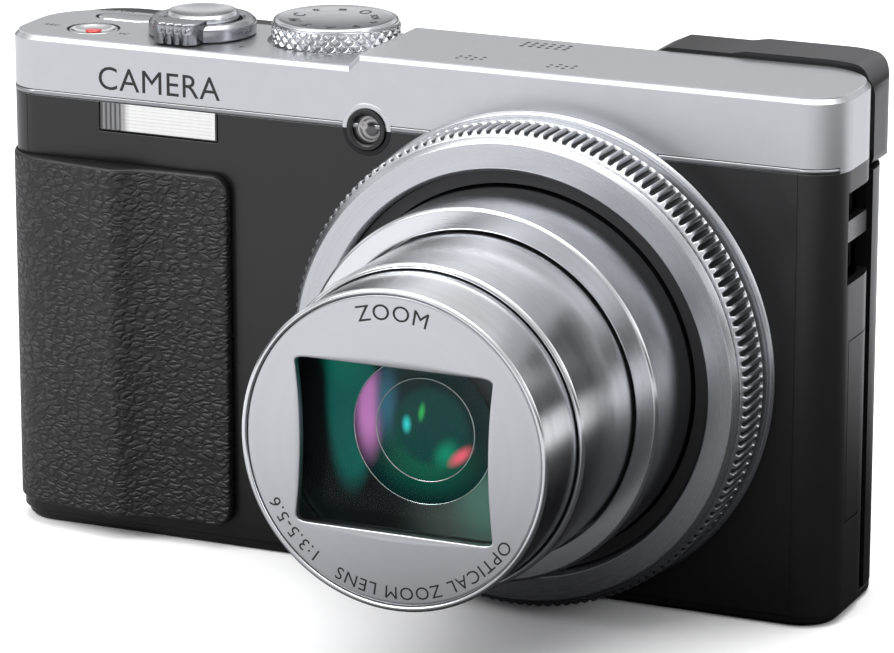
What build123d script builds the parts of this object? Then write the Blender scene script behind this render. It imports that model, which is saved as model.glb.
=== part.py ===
from build123d import *
import os

# A compact zoom camera, its lens run out.  Millimetres.  Z up, the front faces -Y, X to the right
# seen from the front.  The origin is the mouth of the tripod socket, on the base plane.
# "Depth" below is the distance behind the flat front face.

# ---- driving dimensions: the case
CASE_WIDTH = 108.4
CASE_DEPTH = 23.0
CASE_HEIGHT = 63.58          # top plate over the lens
STEP_DROP = 1.47             # the plate under the controls lies lower
STEP_X = -6.8                # middle of the ramp between the two levels
STEP_RUN = 1.4
TOP_BAND = 8.93              # height of the silver top cover
BASE_THICK = 1.3
WALL = 1.2
TOP_PLATE = 1.5
BEVEL = 0.5                  # bright bevel round the top cover
PLATE_RAISE = 0.15           # top plate stands this much above the bevel
FRONT_CORNER = 4.7
SIDE_CORNER = 8.0
TOP_DEPTH = 17.3
SIDE_DEPTH = 14.0
REAR_SHRINK = 0.6            # rear cover is this much narrower on each side
REAR_CORNER = 8.0
REAR_WALL = 1.3
FRONT_TO_SOCKET = 12.0
FIT = 0.05                   # running clearance on a radius
GAP = 0.12                   # clearance between neighbouring fixed pieces
BUTTON_GAP = 0.3             # gap round a moving button

# ---- the lens
LENS_FROM_RIGHT = 36.54
FRONT_BARREL_R = 18.6
BARREL_STEPS = (3.7, 0.8, 0.0)             # large, middle and front barrel over the front one
BARREL_FRONT = (-19.32, -33.97, -42.56)    # depth of each front edge, run out
BARREL_LENGTH = (20.0, 18.97, 16.0)
BARREL_WALL = 0.65
BARREL_PLAY = 0.3            # large barrel inside the fixed tube
TUBE_WALL = 1.5
TUBE_END = 15.5
TUBE_FLOOR = 1.4
BEZEL_WALL = 2.4
BEZEL_FRONT = -9.4
RING_WALL = 2.35
RING_FRONT = -8.2
RING_BACK = -1.0
BEZEL_INSET = 0.45           # the bezel is this much smaller than the ring
FLANGE_OVER = 0.55           # and the flange this much larger
FLANGE_THICK = 0.9
FLANGE_LIFT = 0.09           # lowest point of the flange over the base plane
FACE_RIM = 5.8               # face between the front barrel's edge and the opening's side
OPENING_DROP = 4.9           # the opening is this much lower than it is wide
OPENING_CORNER = 1.1
LENS_RIM = 2.05              # from the front barrel's bore to the front glass
FACE_THICK = 0.9
BLADE_THICK = 0.5

# ---- controls on top (X from the left end, depth)
LEVER_FROM_LEFT = 22.8
LEVER_DEPTH = 9.5
LEVER_R = 6.6
LEVER_TAB_REACH = 8.3
SHUTTER_R = 4.5
SHUTTER_TRAVEL = 1.0
DIAL_FROM_LEFT = 39.3
DIAL_DEPTH = 12.7
DIAL_R = 7.9
DIAL_HEIGHT = 2.8
RECORD_FROM_LEFT = 9.4
RECORD_DEPTH = 6.4
RECORD_R = 3.0
POWER_FROM_LEFT = 10.4
POWER_DEPTH = 13.7
POWER_LENGTH = 8.0
POWER_WIDTH = 3.6

# ---- front
PANEL_FROM_LEFT = 3.3
PANEL_FROM_RIGHT = 4.9
FLASH_FROM_LEFT = 13.4
FLASH_WIDTH = 16.0
FLASH_HEIGHT = 3.6
LAMP_FROM_LENS = 22.64
LAMP_R = 2.5
GRIP_FROM_LEFT = 31.2        # right edge of the grip
GRIP_CREST = 16.4            # crest, from the left end
GRIP_STAND = 3.3
GRIP_BOTTOM = 2.8
GRIP_TOP = 47.2

# ---- back
GLASS_WIDTH = 66.5
GLASS_HEIGHT = 45.5
GLASS_FROM_RIGHT = 9.3
GLASS_BOTTOM = 5.8
GLASS_THICK = 0.9
PAD_FROM_LEFT = 17.8
PAD_Z = 22.5
PAD_R = 8.3
BUTTON_R = 2.1
BUTTON_TRAVEL = 0.6
BUTTON_DX = 6.4              # small buttons either side of the pad's centre line
BUTTON_DZ = 12.4
FINDER_LEFT = 29.5           # the finder housing, measured from the rear cover's right end
FINDER_HEIGHT = 11.7
FINDER_RISE = 0.72           # the housing's top over the top plate
FINDER_BACK = 25.95
EYE_WIDTH = 17.0
EYE_HEIGHT = 9.0

# ---- power, card and socket
BATTERY = (35.4, 7.2, 42.5)
CARD = (24.0, 2.1, 32.0)
BOX_WALL = 0.6
DOOR_WIDTH = 38.5
DOOR_FROM_LEFT = 3.6
DOOR_FRONT = 2.4
DOOR_BACK = 15.6
SOCKET_R = 3.175
SOCKET_DEPTH = 5.5
BUSH_R = 5.5
STRAP_Z = (41.0, 52.0)
STRAP_DEPTH = (4.0, 13.0)
PORT_Z = (12.0, 34.0)
PORT_DEPTH = (5.0, 12.8)
PORT_SKIN = 0.7

# ---- worked out
HALF = CASE_WIDTH / 2
FRONT_Y = -FRONT_TO_SOCKET
BARREL_R = [FRONT_BARREL_R + step for step in BARREL_STEPS]
BORE = [radius - BARREL_WALL for radius in BARREL_R]
TUBE_BORE = BARREL_R[0] + BARREL_PLAY
TUBE_R = TUBE_BORE + TUBE_WALL
BEZEL_BORE = TUBE_R + 0.1
RING_BORE = BEZEL_BORE + BEZEL_WALL
RING_R = RING_BORE + RING_WALL
BEZEL_R = RING_R - BEZEL_INSET
FLANGE_R = RING_R + FLANGE_OVER
LENS_Z = FLANGE_R + FLANGE_LIFT
GLASS_R = BORE[2] - LENS_RIM
SECOND_R = GLASS_R - 6.5
OPENING_WIDTH = 2 * (BORE[2] - FACE_RIM) - 0.2
OPENING_HEIGHT = OPENING_WIDTH - OPENING_DROP
SEAM_Z = CASE_HEIGHT - TOP_BAND
LOW_Z = CASE_HEIGHT - STEP_DROP
FINDER_TOP = CASE_HEIGHT + FINDER_RISE
FINDER_BOTTOM = FINDER_TOP - FINDER_HEIGHT
LENS_X = HALF - LENS_FROM_RIGHT
LENS_AXIS = Axis((LENS_X, 0, LENS_Z), (0, 1, 0))
REAR_HALF = HALF - REAR_SHRINK
REAR_TOP = LOW_Z - 0.8
REAR_INNER = CASE_DEPTH - REAR_WALL
LEVER_X = LEVER_FROM_LEFT - HALF
DIAL_X = DIAL_FROM_LEFT - HALF
RECORD_X = RECORD_FROM_LEFT - HALF
POWER_X = POWER_FROM_LEFT - HALF
LAMP_X = LENS_X - LAMP_FROM_LENS
PAD_X = PAD_FROM_LEFT - HALF
GLASS_X = HALF - GLASS_FROM_RIGHT - GLASS_WIDTH / 2
GLASS_Z = GLASS_BOTTOM + GLASS_HEIGHT / 2
FLASH_X = (FLASH_FROM_LEFT - HALF, FLASH_FROM_LEFT - HALF + FLASH_WIDTH)
FINDER_X = (REAR_HALF - FINDER_LEFT, REAR_HALF)
EYE_X = sum(FINDER_X) / 2 + 1.2
EYE_Z = (FINDER_BOTTOM + FINDER_TOP) / 2
ALL = (-HALF - 5, HALF + 5)

os.makedirs("parts", exist_ok=True)


def save(builder, name):
    """Labels a finished piece and writes it."""
    builder.part.label = name
    export_step(builder.part, f"parts/{name}.step")


def at_depth(depth):
    """The upright plane at a depth; local x is X, local y is Z, and it faces forwards."""
    return Plane.XZ.offset(FRONT_TO_SOCKET - depth)


def block(x, depth, z, mode=Mode.ADD):
    """A box between pairs of X, depth and Z."""
    centre = (sum(x) / 2, FRONT_Y + sum(depth) / 2, sum(z) / 2)
    with Locations(centre):
        Box(x[1] - x[0], depth[1] - depth[0], z[1] - z[0], mode=mode)


def rod(x, z, depth, radius, mode=Mode.ADD):
    """A round bar that runs front to back."""
    with BuildSketch(at_depth(depth[1])) as section:
        with Locations((x, z)):
            Circle(radius)
    extrude(section.sketch, amount=depth[1] - depth[0], mode=mode)


def post(x, depth, z, radius, mode=Mode.ADD):
    """A round bar that stands upright."""
    with BuildSketch(Plane.XY.offset(z[0])) as section:
        with Locations((x, FRONT_Y + depth)):
            Circle(radius)
    extrude(section.sketch, amount=z[1] - z[0], mode=mode)


def pill(x, depth, z, length, width, mode=Mode.ADD):
    """An upright bar with a pill-shaped section, long along X."""
    with BuildSketch(Plane.XY.offset(z[0])) as section:
        with Locations((x, FRONT_Y + depth)):
            SlotOverall(length, width)
    extrude(section.sketch, amount=z[1] - z[0], mode=mode)


def turned(*profile, mode=Mode.ADD):
    """A piece turned about the lens axis from (radius, depth) points."""
    with BuildSketch(Plane.XY.offset(LENS_Z)) as section:
        with BuildLine():
            Polyline(*[(LENS_X + r, FRONT_Y + depth) for r, depth in profile], close=True)
        make_face()
    revolve(section.sketch, axis=LENS_AXIS, mode=mode)


def pane(x, z, width, height, depth, corner, mode=Mode.ADD):
    """A flat slab with rounded corners that faces front or back."""
    with BuildSketch(at_depth(depth[1])) as section:
        with Locations((x, z)):
            RectangleRounded(width, height, corner)
    extrude(section.sketch, amount=depth[1] - depth[0], mode=mode)


def outline(z, height, half, depth, front_r, back_r, inset=0.0, mode=Mode.ADD):
    """The case's rounded plan between two depths, as a solid that stands on z."""
    front = depth[0] + inset
    back = depth[1] - inset
    with BuildSketch(Plane.XY.offset(z)) as plan:
        with Locations((0, FRONT_Y + (front + back) / 2)):
            Rectangle(2 * (half - inset), back - front)
        if front_r > inset:
            fillet(plan.vertices().group_by(Axis.Y)[0], front_r - inset)
        if back_r > inset:
            fillet(plan.vertices().group_by(Axis.Y)[-1], back_r - inset)
    extrude(plan.sketch, amount=height, mode=mode)


def front_plan(z, height, inset=0.0, mode=Mode.ADD):
    """The plan that the top, front and side covers share."""
    outline(z, height, HALF, (0, TOP_DEPTH), FRONT_CORNER, SIDE_CORNER, inset, mode)


def rear_plan(z, height, inset=0.0, reach=0.0, mode=Mode.ADD):
    """The plan of the rear cover; reach runs it further forward."""
    outline(z, height, REAR_HALF, (SIDE_DEPTH - reach, CASE_DEPTH), 0, REAR_CORNER, inset, mode)


# ================= case =================

def stepped_plan(top, inset):
    """The top cover's plan up to a level over the lens, with the lower level over the grip."""
    front_plan(SEAM_Z, top - SEAM_Z, inset)
    low = top - STEP_DROP
    with BuildSketch(at_depth(TOP_DEPTH + 1)) as low_level:
        with BuildLine():
            Polyline(
                (ALL[0], low), (STEP_X - STEP_RUN / 2, low), (STEP_X + STEP_RUN / 2, top),
                (STEP_X + STEP_RUN / 2, top + 1), (ALL[0], top + 1), close=True,
            )
        make_face()
    extrude(low_level.sketch, amount=TOP_DEPTH + 2, mode=Mode.SUBTRACT)


with BuildPart() as top_plate:
    stepped_plan(CASE_HEIGHT, BEVEL)

with BuildPart() as top_cover:
    stepped_plan(CASE_HEIGHT - PLATE_RAISE, 0.0)
    upper = top_cover.faces().filter_by(lambda face: face.normal_at().Z > 0.3)
    counts = [(edge, sum(edge in face.edges() for face in upper)) for edge in upper.edges()]
    chamfer([edge for edge, count in counts if count == 1], BEVEL)
    add(top_plate.part)
    front_plan(SEAM_Z, LOW_Z - TOP_PLATE - SEAM_Z, WALL, Mode.SUBTRACT)
    rod(LAMP_X, SEAM_Z, (-1, WALL + 1), LAMP_R + FIT, Mode.SUBTRACT)
    post(LEVER_X, LEVER_DEPTH, (SEAM_Z, CASE_HEIGHT + 1), LEVER_R - 1.2 + FIT, Mode.SUBTRACT)
    post(DIAL_X, DIAL_DEPTH, (LOW_Z - 0.6, CASE_HEIGHT + 1), DIAL_R + 0.45, Mode.SUBTRACT)
    post(DIAL_X, DIAL_DEPTH, (SEAM_Z, CASE_HEIGHT), 2 + FIT, Mode.SUBTRACT)
    post(RECORD_X, RECORD_DEPTH, (SEAM_Z, CASE_HEIGHT), RECORD_R + BUTTON_GAP, Mode.SUBTRACT)
    pill(
        POWER_X, POWER_DEPTH, (SEAM_Z, CASE_HEIGHT),
        POWER_LENGTH + 2 * BUTTON_GAP, POWER_WIDTH + 2 * BUTTON_GAP, Mode.SUBTRACT,
    )
    for mic_x in (LENS_X - 11.0, LENS_X + 0.6):
        with Locations((mic_x, FRONT_Y + 4.2, CASE_HEIGHT)):
            with HexLocations(0.55, 4, 2):
                Hole(0.26, TOP_PLATE + STEP_DROP + 1)
    with Locations((LENS_X - 5.3, FRONT_Y + 13.6, CASE_HEIGHT)):
        with GridLocations(1.1, 1.0, 6, 3):
            Hole(0.3, TOP_PLATE + STEP_DROP + 1)
save(top_cover, "top_cover")

with BuildPart() as front_cover:
    block(
        (PANEL_FROM_LEFT - HALF, HALF - PANEL_FROM_RIGHT), (0, WALL), (BASE_THICK, SEAM_Z)
    )
    front_plan(BASE_THICK, SEAM_Z - BASE_THICK, 0.0, Mode.INTERSECT)
    rod(LENS_X, LENS_Z, (-1, WALL + 1), TUBE_R + GAP, Mode.SUBTRACT)
    block(
        (FLASH_X[0] - FIT, FLASH_X[1] + FIT), (-1, WALL + 1),
        (SEAM_Z - FLASH_HEIGHT - FIT, SEAM_Z + 1), Mode.SUBTRACT,
    )
    rod(LAMP_X, SEAM_Z, (-1, WALL + 1), LAMP_R + FIT, Mode.SUBTRACT)
save(front_cover, "front_cover")


def side_ring():
    """The wall that follows the case's plan between the base and the seam."""
    front_plan(BASE_THICK, SEAM_Z - BASE_THICK)
    front_plan(BASE_THICK, SEAM_Z - BASE_THICK, WALL, Mode.SUBTRACT)
    block(ALL, (SIDE_DEPTH, TOP_DEPTH + 1), (0, CASE_HEIGHT), Mode.SUBTRACT)


with BuildPart() as side_cover_left:
    side_ring()
    block((PANEL_FROM_LEFT - HALF, ALL[1]), (-1, TOP_DEPTH), (0, CASE_HEIGHT), Mode.SUBTRACT)
save(side_cover_left, "side_cover_left")

with BuildPart() as side_cover_right:
    side_ring()
    block((ALL[0], HALF - PANEL_FROM_RIGHT), (-1, TOP_DEPTH), (0, CASE_HEIGHT), Mode.SUBTRACT)
    block((HALF - 3, HALF + 1), STRAP_DEPTH, STRAP_Z, Mode.SUBTRACT)
    # pocket for the port door, with a thin floor behind it that holds the two sockets
    with BuildPart(mode=Mode.PRIVATE) as port_pocket:
        front_plan(PORT_Z[0] - GAP, PORT_Z[1] - PORT_Z[0] + 2 * GAP)
        front_plan(0, CASE_HEIGHT, PORT_SKIN + GAP, Mode.SUBTRACT)
        block(
            (HALF - 6, HALF + 1), (PORT_DEPTH[0] - GAP, PORT_DEPTH[1] + GAP),
            (0, CASE_HEIGHT), Mode.INTERSECT,
        )
    add(port_pocket.part, mode=Mode.SUBTRACT)
    block((HALF - 3, HALF + 1), (7.2, 10.4), (14.5, 21.5), Mode.SUBTRACT)
    block((HALF - 3, HALF + 1), (7.2, 10.4), (24.0, 31.5), Mode.SUBTRACT)
save(side_cover_right, "side_cover_right")

with BuildPart() as port_cover:
    front_plan(PORT_Z[0], PORT_Z[1] - PORT_Z[0])
    front_plan(0, CASE_HEIGHT, PORT_SKIN, Mode.SUBTRACT)
    block((HALF - 6, HALF + 1), PORT_DEPTH, (0, CASE_HEIGHT), Mode.INTERSECT)
save(port_cover, "port_cover")

with BuildPart() as bottom_cover:
    outline(0, BASE_THICK, HALF - 0.5, (0.3, CASE_DEPTH - 0.5), FRONT_CORNER, REAR_CORNER)
    chamfer(bottom_cover.edges().group_by(Axis.Z)[0], 0.5)
    block(
        (DOOR_FROM_LEFT - HALF - GAP, DOOR_FROM_LEFT - HALF + DOOR_WIDTH + GAP),
        (DOOR_FRONT - GAP, DOOR_BACK + GAP), (-1, BASE_THICK + 1), Mode.SUBTRACT,
    )
    post(0, FRONT_TO_SOCKET, (-1, BASE_THICK + 1), BUSH_R + FIT, Mode.SUBTRACT)
    SCREWS = ((HALF - 9, 4.6), (HALF - 9, 18.4), (-3.0, 19.4), (DOOR_FROM_LEFT - HALF + 8, 19.4))
    for screw_x, screw_depth in SCREWS:
        post(screw_x, screw_depth, (-1, 0.8), 1.4, Mode.SUBTRACT)
        post(screw_x, screw_depth, (-1, BASE_THICK + 1), 0.75, Mode.SUBTRACT)
save(bottom_cover, "bottom_cover")

with BuildPart() as case_screws:
    for screw_x, screw_depth in SCREWS:
        post(screw_x, screw_depth, (0.1, 0.75), 1.3)
        post(screw_x, screw_depth, (0.75, 4.5), 0.7)
        block(
            (screw_x - 0.8, screw_x + 0.8), (screw_depth - 0.18, screw_depth + 0.18),
            (0, 0.35), Mode.SUBTRACT,
        )
save(case_screws, "case_screws")

with BuildPart() as battery_door:
    block(
        (DOOR_FROM_LEFT - HALF, DOOR_FROM_LEFT - HALF + DOOR_WIDTH),
        (DOOR_FRONT, DOOR_BACK), (0, BASE_THICK),
    )
    fillet(battery_door.edges().filter_by(Axis.Z), 1.0)
    CATCH_X = (DOOR_FROM_LEFT - HALF + 2.0, DOOR_FROM_LEFT - HALF + 9.0)
    CATCH_DEPTH = (DOOR_FRONT + 4.2, DOOR_BACK - 4.2)
    CATCH_TRAVEL = 2.5
    block(
        (CATCH_X[0] - GAP, CATCH_X[1] + CATCH_TRAVEL + GAP),
        (CATCH_DEPTH[0] - GAP, CATCH_DEPTH[1] + GAP), (-1, 0.8), Mode.SUBTRACT,
    )
save(battery_door, "battery_door")

with BuildPart() as battery_catch:
    block(CATCH_X, CATCH_DEPTH, (0.05, 0.7))
    for rib in range(4):
        rib_x = CATCH_X[0] + 1.6 + rib * 1.2
        block((rib_x, rib_x + 0.4), (CATCH_DEPTH[0] - 1, CATCH_DEPTH[1] + 1), (0, 0.25), Mode.SUBTRACT)
save(battery_catch, "battery_catch")

with BuildPart() as tripod_bush:
    post(0, FRONT_TO_SOCKET, (0, SOCKET_DEPTH + 1), BUSH_R)
    post(0, FRONT_TO_SOCKET, (-1, SOCKET_DEPTH), SOCKET_R, Mode.SUBTRACT)
save(tripod_bush, "tripod_bush")

with BuildPart() as grip:
    # plan of the grip: round the left end, over the crest, a finger valley, then flat to its edge
    with BuildSketch(Plane.XY.offset(GRIP_BOTTOM)) as grip_plan:
        with BuildLine():
            left = (-HALF - 0.7, FRONT_Y + 9.0)
            crest = (GRIP_CREST - HALF, FRONT_Y - GRIP_STAND)
            right = (GRIP_FROM_LEFT - HALF, FRONT_Y - 1.5)
            Spline(
                left,
                (-HALF - 0.3, FRONT_Y + 4.2),
                (-HALF + 3.2, FRONT_Y - 0.9),
                (crest[0] - 6.0, crest[1] + 0.9),
                crest,
                (crest[0] + 4.6, FRONT_Y - 1.7),
                (crest[0] + 8.5, FRONT_Y - 1.4),
                right,
            )
            Polyline(right, (right[0], FRONT_Y + 2), (-HALF + 4, FRONT_Y + 9.0), left)
        make_face()
    extrude(grip_plan.sketch, amount=GRIP_TOP - GRIP_BOTTOM)
    ends = grip.faces().filter_by(Axis.Z).edges().filter_by(GeomType.BSPLINE)
    chamfer(ends, 0.6)
    front_plan(0, CASE_HEIGHT, 0.0, Mode.SUBTRACT)
save(grip, "grip")

with BuildPart() as rear_cover:
    rear_plan(BASE_THICK, REAR_TOP - BASE_THICK)
    fillet(rear_cover.edges().group_by(Axis.Z)[-1].group_by(Axis.Y)[-1], 0.6)
    rear_plan(0, REAR_TOP - WALL, REAR_WALL, 4, Mode.SUBTRACT)
    front_plan(SEAM_Z - GAP, CASE_HEIGHT, 0.0, Mode.SUBTRACT)
    block(
        (-HALF + SIDE_CORNER, HALF - SIDE_CORNER), (0, TOP_DEPTH + GAP),
        (SEAM_Z - GAP, CASE_HEIGHT), Mode.SUBTRACT,
    )
    block(
        (FINDER_X[0] - GAP, ALL[1]), (SIDE_DEPTH - 1, CASE_DEPTH + 1),
        (FINDER_BOTTOM - GAP, CASE_HEIGHT), Mode.SUBTRACT,
    )
    glass_pocket = (CASE_DEPTH - GLASS_THICK + 0.1, CASE_DEPTH + 1)
    pane(GLASS_X, GLASS_Z, GLASS_WIDTH + 2 * FIT, GLASS_HEIGHT + 2 * FIT, glass_pocket, 1.5, Mode.SUBTRACT)
    pane(GLASS_X, GLASS_Z, GLASS_WIDTH - 3, GLASS_HEIGHT - 3, (REAR_INNER - 1, CASE_DEPTH + 1), 1, Mode.SUBTRACT)
    rod(PAD_X, PAD_Z, (REAR_INNER - 1, CASE_DEPTH + 1), PAD_R + BUTTON_GAP, Mode.SUBTRACT)
    SMALL_BUTTONS = {
        "play_button": (PAD_X - BUTTON_DX, PAD_Z + BUTTON_DZ),
        "menu_button": (PAD_X + BUTTON_DX, PAD_Z + BUTTON_DZ),
        "info_button": (PAD_X - BUTTON_DX, PAD_Z - BUTTON_DZ),
        "quick_button": (PAD_X + BUTTON_DX, PAD_Z - BUTTON_DZ),
        "viewfinder_button": (FINDER_X[0] - 5.0, (SEAM_Z + REAR_TOP) / 2 - 0.6),
    }
    for button_x, button_z in SMALL_BUTTONS.values():
        rod(button_x, button_z, (REAR_INNER - 1, CASE_DEPTH + 1), BUTTON_R + BUTTON_GAP, Mode.SUBTRACT)
save(rear_cover, "rear_cover")

for name, (button_x, button_z) in SMALL_BUTTONS.items():
    with BuildPart() as button:
        rod(button_x, button_z, (REAR_INNER - 0.7, CASE_DEPTH + 0.5), BUTTON_R)
        fillet(button.edges().group_by(Axis.Y)[-1], 0.3)
    save(button, name)

with BuildPart() as pad_plate:
    rod(PAD_X, PAD_Z, (REAR_INNER - 1.1, REAR_INNER - 0.3), PAD_R - 0.8)
save(pad_plate, "pad_plate")

with BuildPart() as cursor_pad:
    rod(PAD_X, PAD_Z, (REAR_INNER + 0.7, CASE_DEPTH + 0.9), PAD_R)
    fillet(cursor_pad.edges().group_by(Axis.Y)[-1], 0.5)
    rod(PAD_X, PAD_Z, (CASE_DEPTH + 0.5, CASE_DEPTH + 2), 3.6, Mode.SUBTRACT)
    rod(PAD_X, PAD_Z, (REAR_INNER, CASE_DEPTH), 1.5)
    rod(PAD_X, PAD_Z, (CASE_DEPTH, CASE_DEPTH + 0.8), 3.3)
save(cursor_pad, "cursor_pad")

with BuildPart() as thumb_rest:
    pane(PAD_X + 0.4, SEAM_Z - 6.6, 18.0, 18.0, (CASE_DEPTH, CASE_DEPTH + 1.1), 4.0)
    fillet(thumb_rest.edges().group_by(Axis.Y)[-1], 0.8)
save(thumb_rest, "thumb_rest")

with BuildPart() as display_glass:
    pane(GLASS_X, GLASS_Z, GLASS_WIDTH, GLASS_HEIGHT, (CASE_DEPTH - GLASS_THICK + 0.1, CASE_DEPTH + 0.1), 1.5)
save(display_glass, "display_glass")

with BuildPart() as display_panel:
    pane(GLASS_X, GLASS_Z, GLASS_WIDTH - 4, GLASS_HEIGHT - 4, (REAR_INNER - 1.6, REAR_INNER - 0.05), 0.8)
save(display_panel, "display_panel")

# ================= viewfinder =================

with BuildPart() as viewfinder_cover:
    housing_depth = (SIDE_DEPTH, FINDER_BACK - 0.75)
    with BuildSketch(at_depth(housing_depth[1])) as finder_face:
        with BuildLine():
            Polyline(
                (FINDER_X[0], FINDER_BOTTOM), (FINDER_X[0], FINDER_TOP - 1.4),
                (FINDER_X[0] + 2.3, FINDER_TOP - 0.35), (FINDER_X[0] + 10.2, FINDER_TOP - 0.35),
                (FINDER_X[0] + 12.2, FINDER_TOP), (FINDER_X[1], FINDER_TOP),
                (FINDER_X[1], FINDER_BOTTOM), close=True,
            )
        make_face()
        right = finder_face.vertices().group_by(Axis.X)[-1].sort_by(Axis.Y)
        fillet(right[1], 3.3)
        fillet(finder_face.vertices().group_by(Axis.X)[-1].sort_by(Axis.Y)[0], 1.5)
    extrude(finder_face.sketch, amount=housing_depth[1] - housing_depth[0])
    with BuildPart(mode=Mode.PRIVATE) as finder_plan:
        outline(FINDER_BOTTOM - 1, 20, REAR_HALF, (0, housing_depth[1]), 0, 7.5)
    add(finder_plan.part, mode=Mode.INTERSECT)
    front_plan(SEAM_Z - GAP, CASE_HEIGHT, -GAP, Mode.SUBTRACT)
    block(
        (FINDER_X[0] - 1, HALF - SIDE_CORNER), (0, TOP_DEPTH + GAP),
        (FINDER_BOTTOM - 1, FINDER_TOP + 1), Mode.SUBTRACT,
    )
    block(
        (FINDER_X[0] + 1.4, FINDER_X[1] - 1.4), (0, housing_depth[1] - 3.0),
        (FINDER_BOTTOM + 1.2, FINDER_TOP - 1.3), Mode.SUBTRACT,
    )
    block(
        (FINDER_X[0] + 1.4, FINDER_X[1] - 7.0), (0, housing_depth[1] - 1.3),
        (FINDER_BOTTOM + 1.2, FINDER_TOP - 1.3), Mode.SUBTRACT,
    )
    pane(EYE_X, EYE_Z, EYE_WIDTH - 3, EYE_HEIGHT - 1.5, (20, 30), 1.5, Mode.SUBTRACT)
    DIOPTER = (FINDER_X[0] + 4.0, EYE_Z)
    rod(*DIOPTER, (20, 30), 1.0 + FIT, Mode.SUBTRACT)
save(viewfinder_cover, "viewfinder_cover")

with BuildPart() as eyecup:
    pane(EYE_X, EYE_Z, EYE_WIDTH, EYE_HEIGHT, (housing_depth[1], FINDER_BACK), 2.5)
    fillet(eyecup.edges().group_by(Axis.Y)[-1], 0.4)
    pane(
        EYE_X, EYE_Z, EYE_WIDTH - 3 - 2 * FIT, EYE_HEIGHT - 1.5 - 2 * FIT,
        (housing_depth[1] - 1.3, FINDER_BACK - 0.2), 1.4,
    )
    pane(EYE_X, EYE_Z, EYE_WIDTH - 5, EYE_HEIGHT - 3, (20, 30), 1.0, Mode.SUBTRACT)
save(eyecup, "eyecup")

with BuildPart() as eyepiece_lens:
    pane(EYE_X, EYE_Z, EYE_WIDTH - 3.5, EYE_HEIGHT - 2, (housing_depth[1] - 2.4, housing_depth[1] - 1.35), 1.0)
save(eyepiece_lens, "eyepiece_lens")

with BuildPart() as viewfinder_screen:
    pane(EYE_X, EYE_Z, 9, 6.5, (TOP_DEPTH + 0.8, TOP_DEPTH + 2.3), 0.5)
save(viewfinder_screen, "viewfinder_screen")

with BuildPart() as diopter_dial:
    rod(*DIOPTER, (housing_depth[1] - 1.2, housing_depth[1] + 0.1), 1.0)
    rod(*DIOPTER, (housing_depth[1] + 0.1, FINDER_BACK), 2.4)
    fillet(diopter_dial.edges().group_by(Axis.Y)[-1], 0.2)
save(diopter_dial, "diopter_dial")

# ================= inside the case =================

BATTERY_X = (DOOR_FROM_LEFT - HALF + 1.6, DOOR_FROM_LEFT - HALF + 1.6 + BATTERY[0])
BATTERY_DEPTH = (DOOR_FRONT + 1.4, DOOR_FRONT + 1.4 + BATTERY[1])
BATTERY_Z = (BASE_THICK + 0.7, BASE_THICK + 0.7 + BATTERY[2])
CARD_X = (BATTERY_X[0] + 3.0, BATTERY_X[0] + 3.0 + CARD[0])
CARD_DEPTH = (BATTERY_DEPTH[1] + BOX_WALL + 0.6, BATTERY_DEPTH[1] + BOX_WALL + 0.6 + CARD[1])

with BuildPart() as battery:
    block(BATTERY_X, BATTERY_DEPTH, BATTERY_Z)
    fillet(battery.edges().filter_by(Axis.Z), 1.2)
save(battery, "battery")

with BuildPart() as memory_card:
    block(CARD_X, CARD_DEPTH, (BATTERY_Z[0], BATTERY_Z[0] + CARD[2]))
    chamfer(memory_card.edges().filter_by(Axis.Y).sort_by(Axis.Z)[-1:], 2.5)
save(memory_card, "memory_card")

with BuildPart() as chassis:
    reach = BOX_WALL + GAP
    block((-HALF + 5.2, HALF - 5.4), (WALL + 0.05, WALL + 0.85), (BASE_THICK + 0.1, SEAM_Z - 0.6))
    block(
        (BATTERY_X[0] - reach, BATTERY_X[1] + reach), (WALL + 0.05, BATTERY_DEPTH[1] + reach),
        (BASE_THICK + 0.1, BATTERY_Z[1] + reach),
    )
    block(
        (BATTERY_X[0] - GAP, BATTERY_X[1] + GAP), (BATTERY_DEPTH[0] - GAP, BATTERY_DEPTH[1] + GAP),
        (0, BATTERY_Z[1] + GAP), Mode.SUBTRACT,
    )
    front_plan(0, CASE_HEIGHT, WALL + 0.05, Mode.INTERSECT)
    rod(LENS_X, LENS_Z, (-1, 30), TUBE_R + GAP, Mode.SUBTRACT)
    rod(LAMP_X, SEAM_Z, (-1, 30), LAMP_R + 1, Mode.SUBTRACT)
    block((FLASH_X[0] - 1, FLASH_X[1] + 1), (0, 9), (SEAM_Z - FLASH_HEIGHT - 2, SEAM_Z), Mode.SUBTRACT)
    block((HALF - 8, HALF), (0, 30), (0, CASE_HEIGHT), Mode.SUBTRACT)
save(chassis, "chassis")

with BuildPart() as main_board:
    block((-REAR_HALF + 4, REAR_HALF - 6), (18.2, 19.2), (BASE_THICK + 3.4, FINDER_BOTTOM - 1.5))
    for part_x, part_z, part_w, part_h in ((LENS_X, 38, 13, 13), (LENS_X - 22, 20, 9, 9), (-30, 32, 12, 8)):
        block(
            (part_x - part_w / 2, part_x + part_w / 2), (17.2, 18.2),
            (part_z - part_h / 2, part_z + part_h / 2),
        )
    block((LENS_X - 8, LENS_X + 8), (16, 18.2), (LENS_Z - 7, LENS_Z + 7), Mode.SUBTRACT)
save(main_board, "main_board")

with BuildPart() as image_sensor:
    block((LENS_X - 6, LENS_X + 6), (TUBE_END + TUBE_FLOOR + 0.05, 18.15), (LENS_Z - 5, LENS_Z + 5))
save(image_sensor, "image_sensor")

with BuildPart() as zoom_motor:
    rod(LENS_X - 24.6, LENS_Z + 18.2, (3.0, 15.0), 3.8)
    rod(LENS_X - 24.6, LENS_Z + 18.2, (15.0, 16.6), 1.6)
save(zoom_motor, "zoom_motor")

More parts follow.
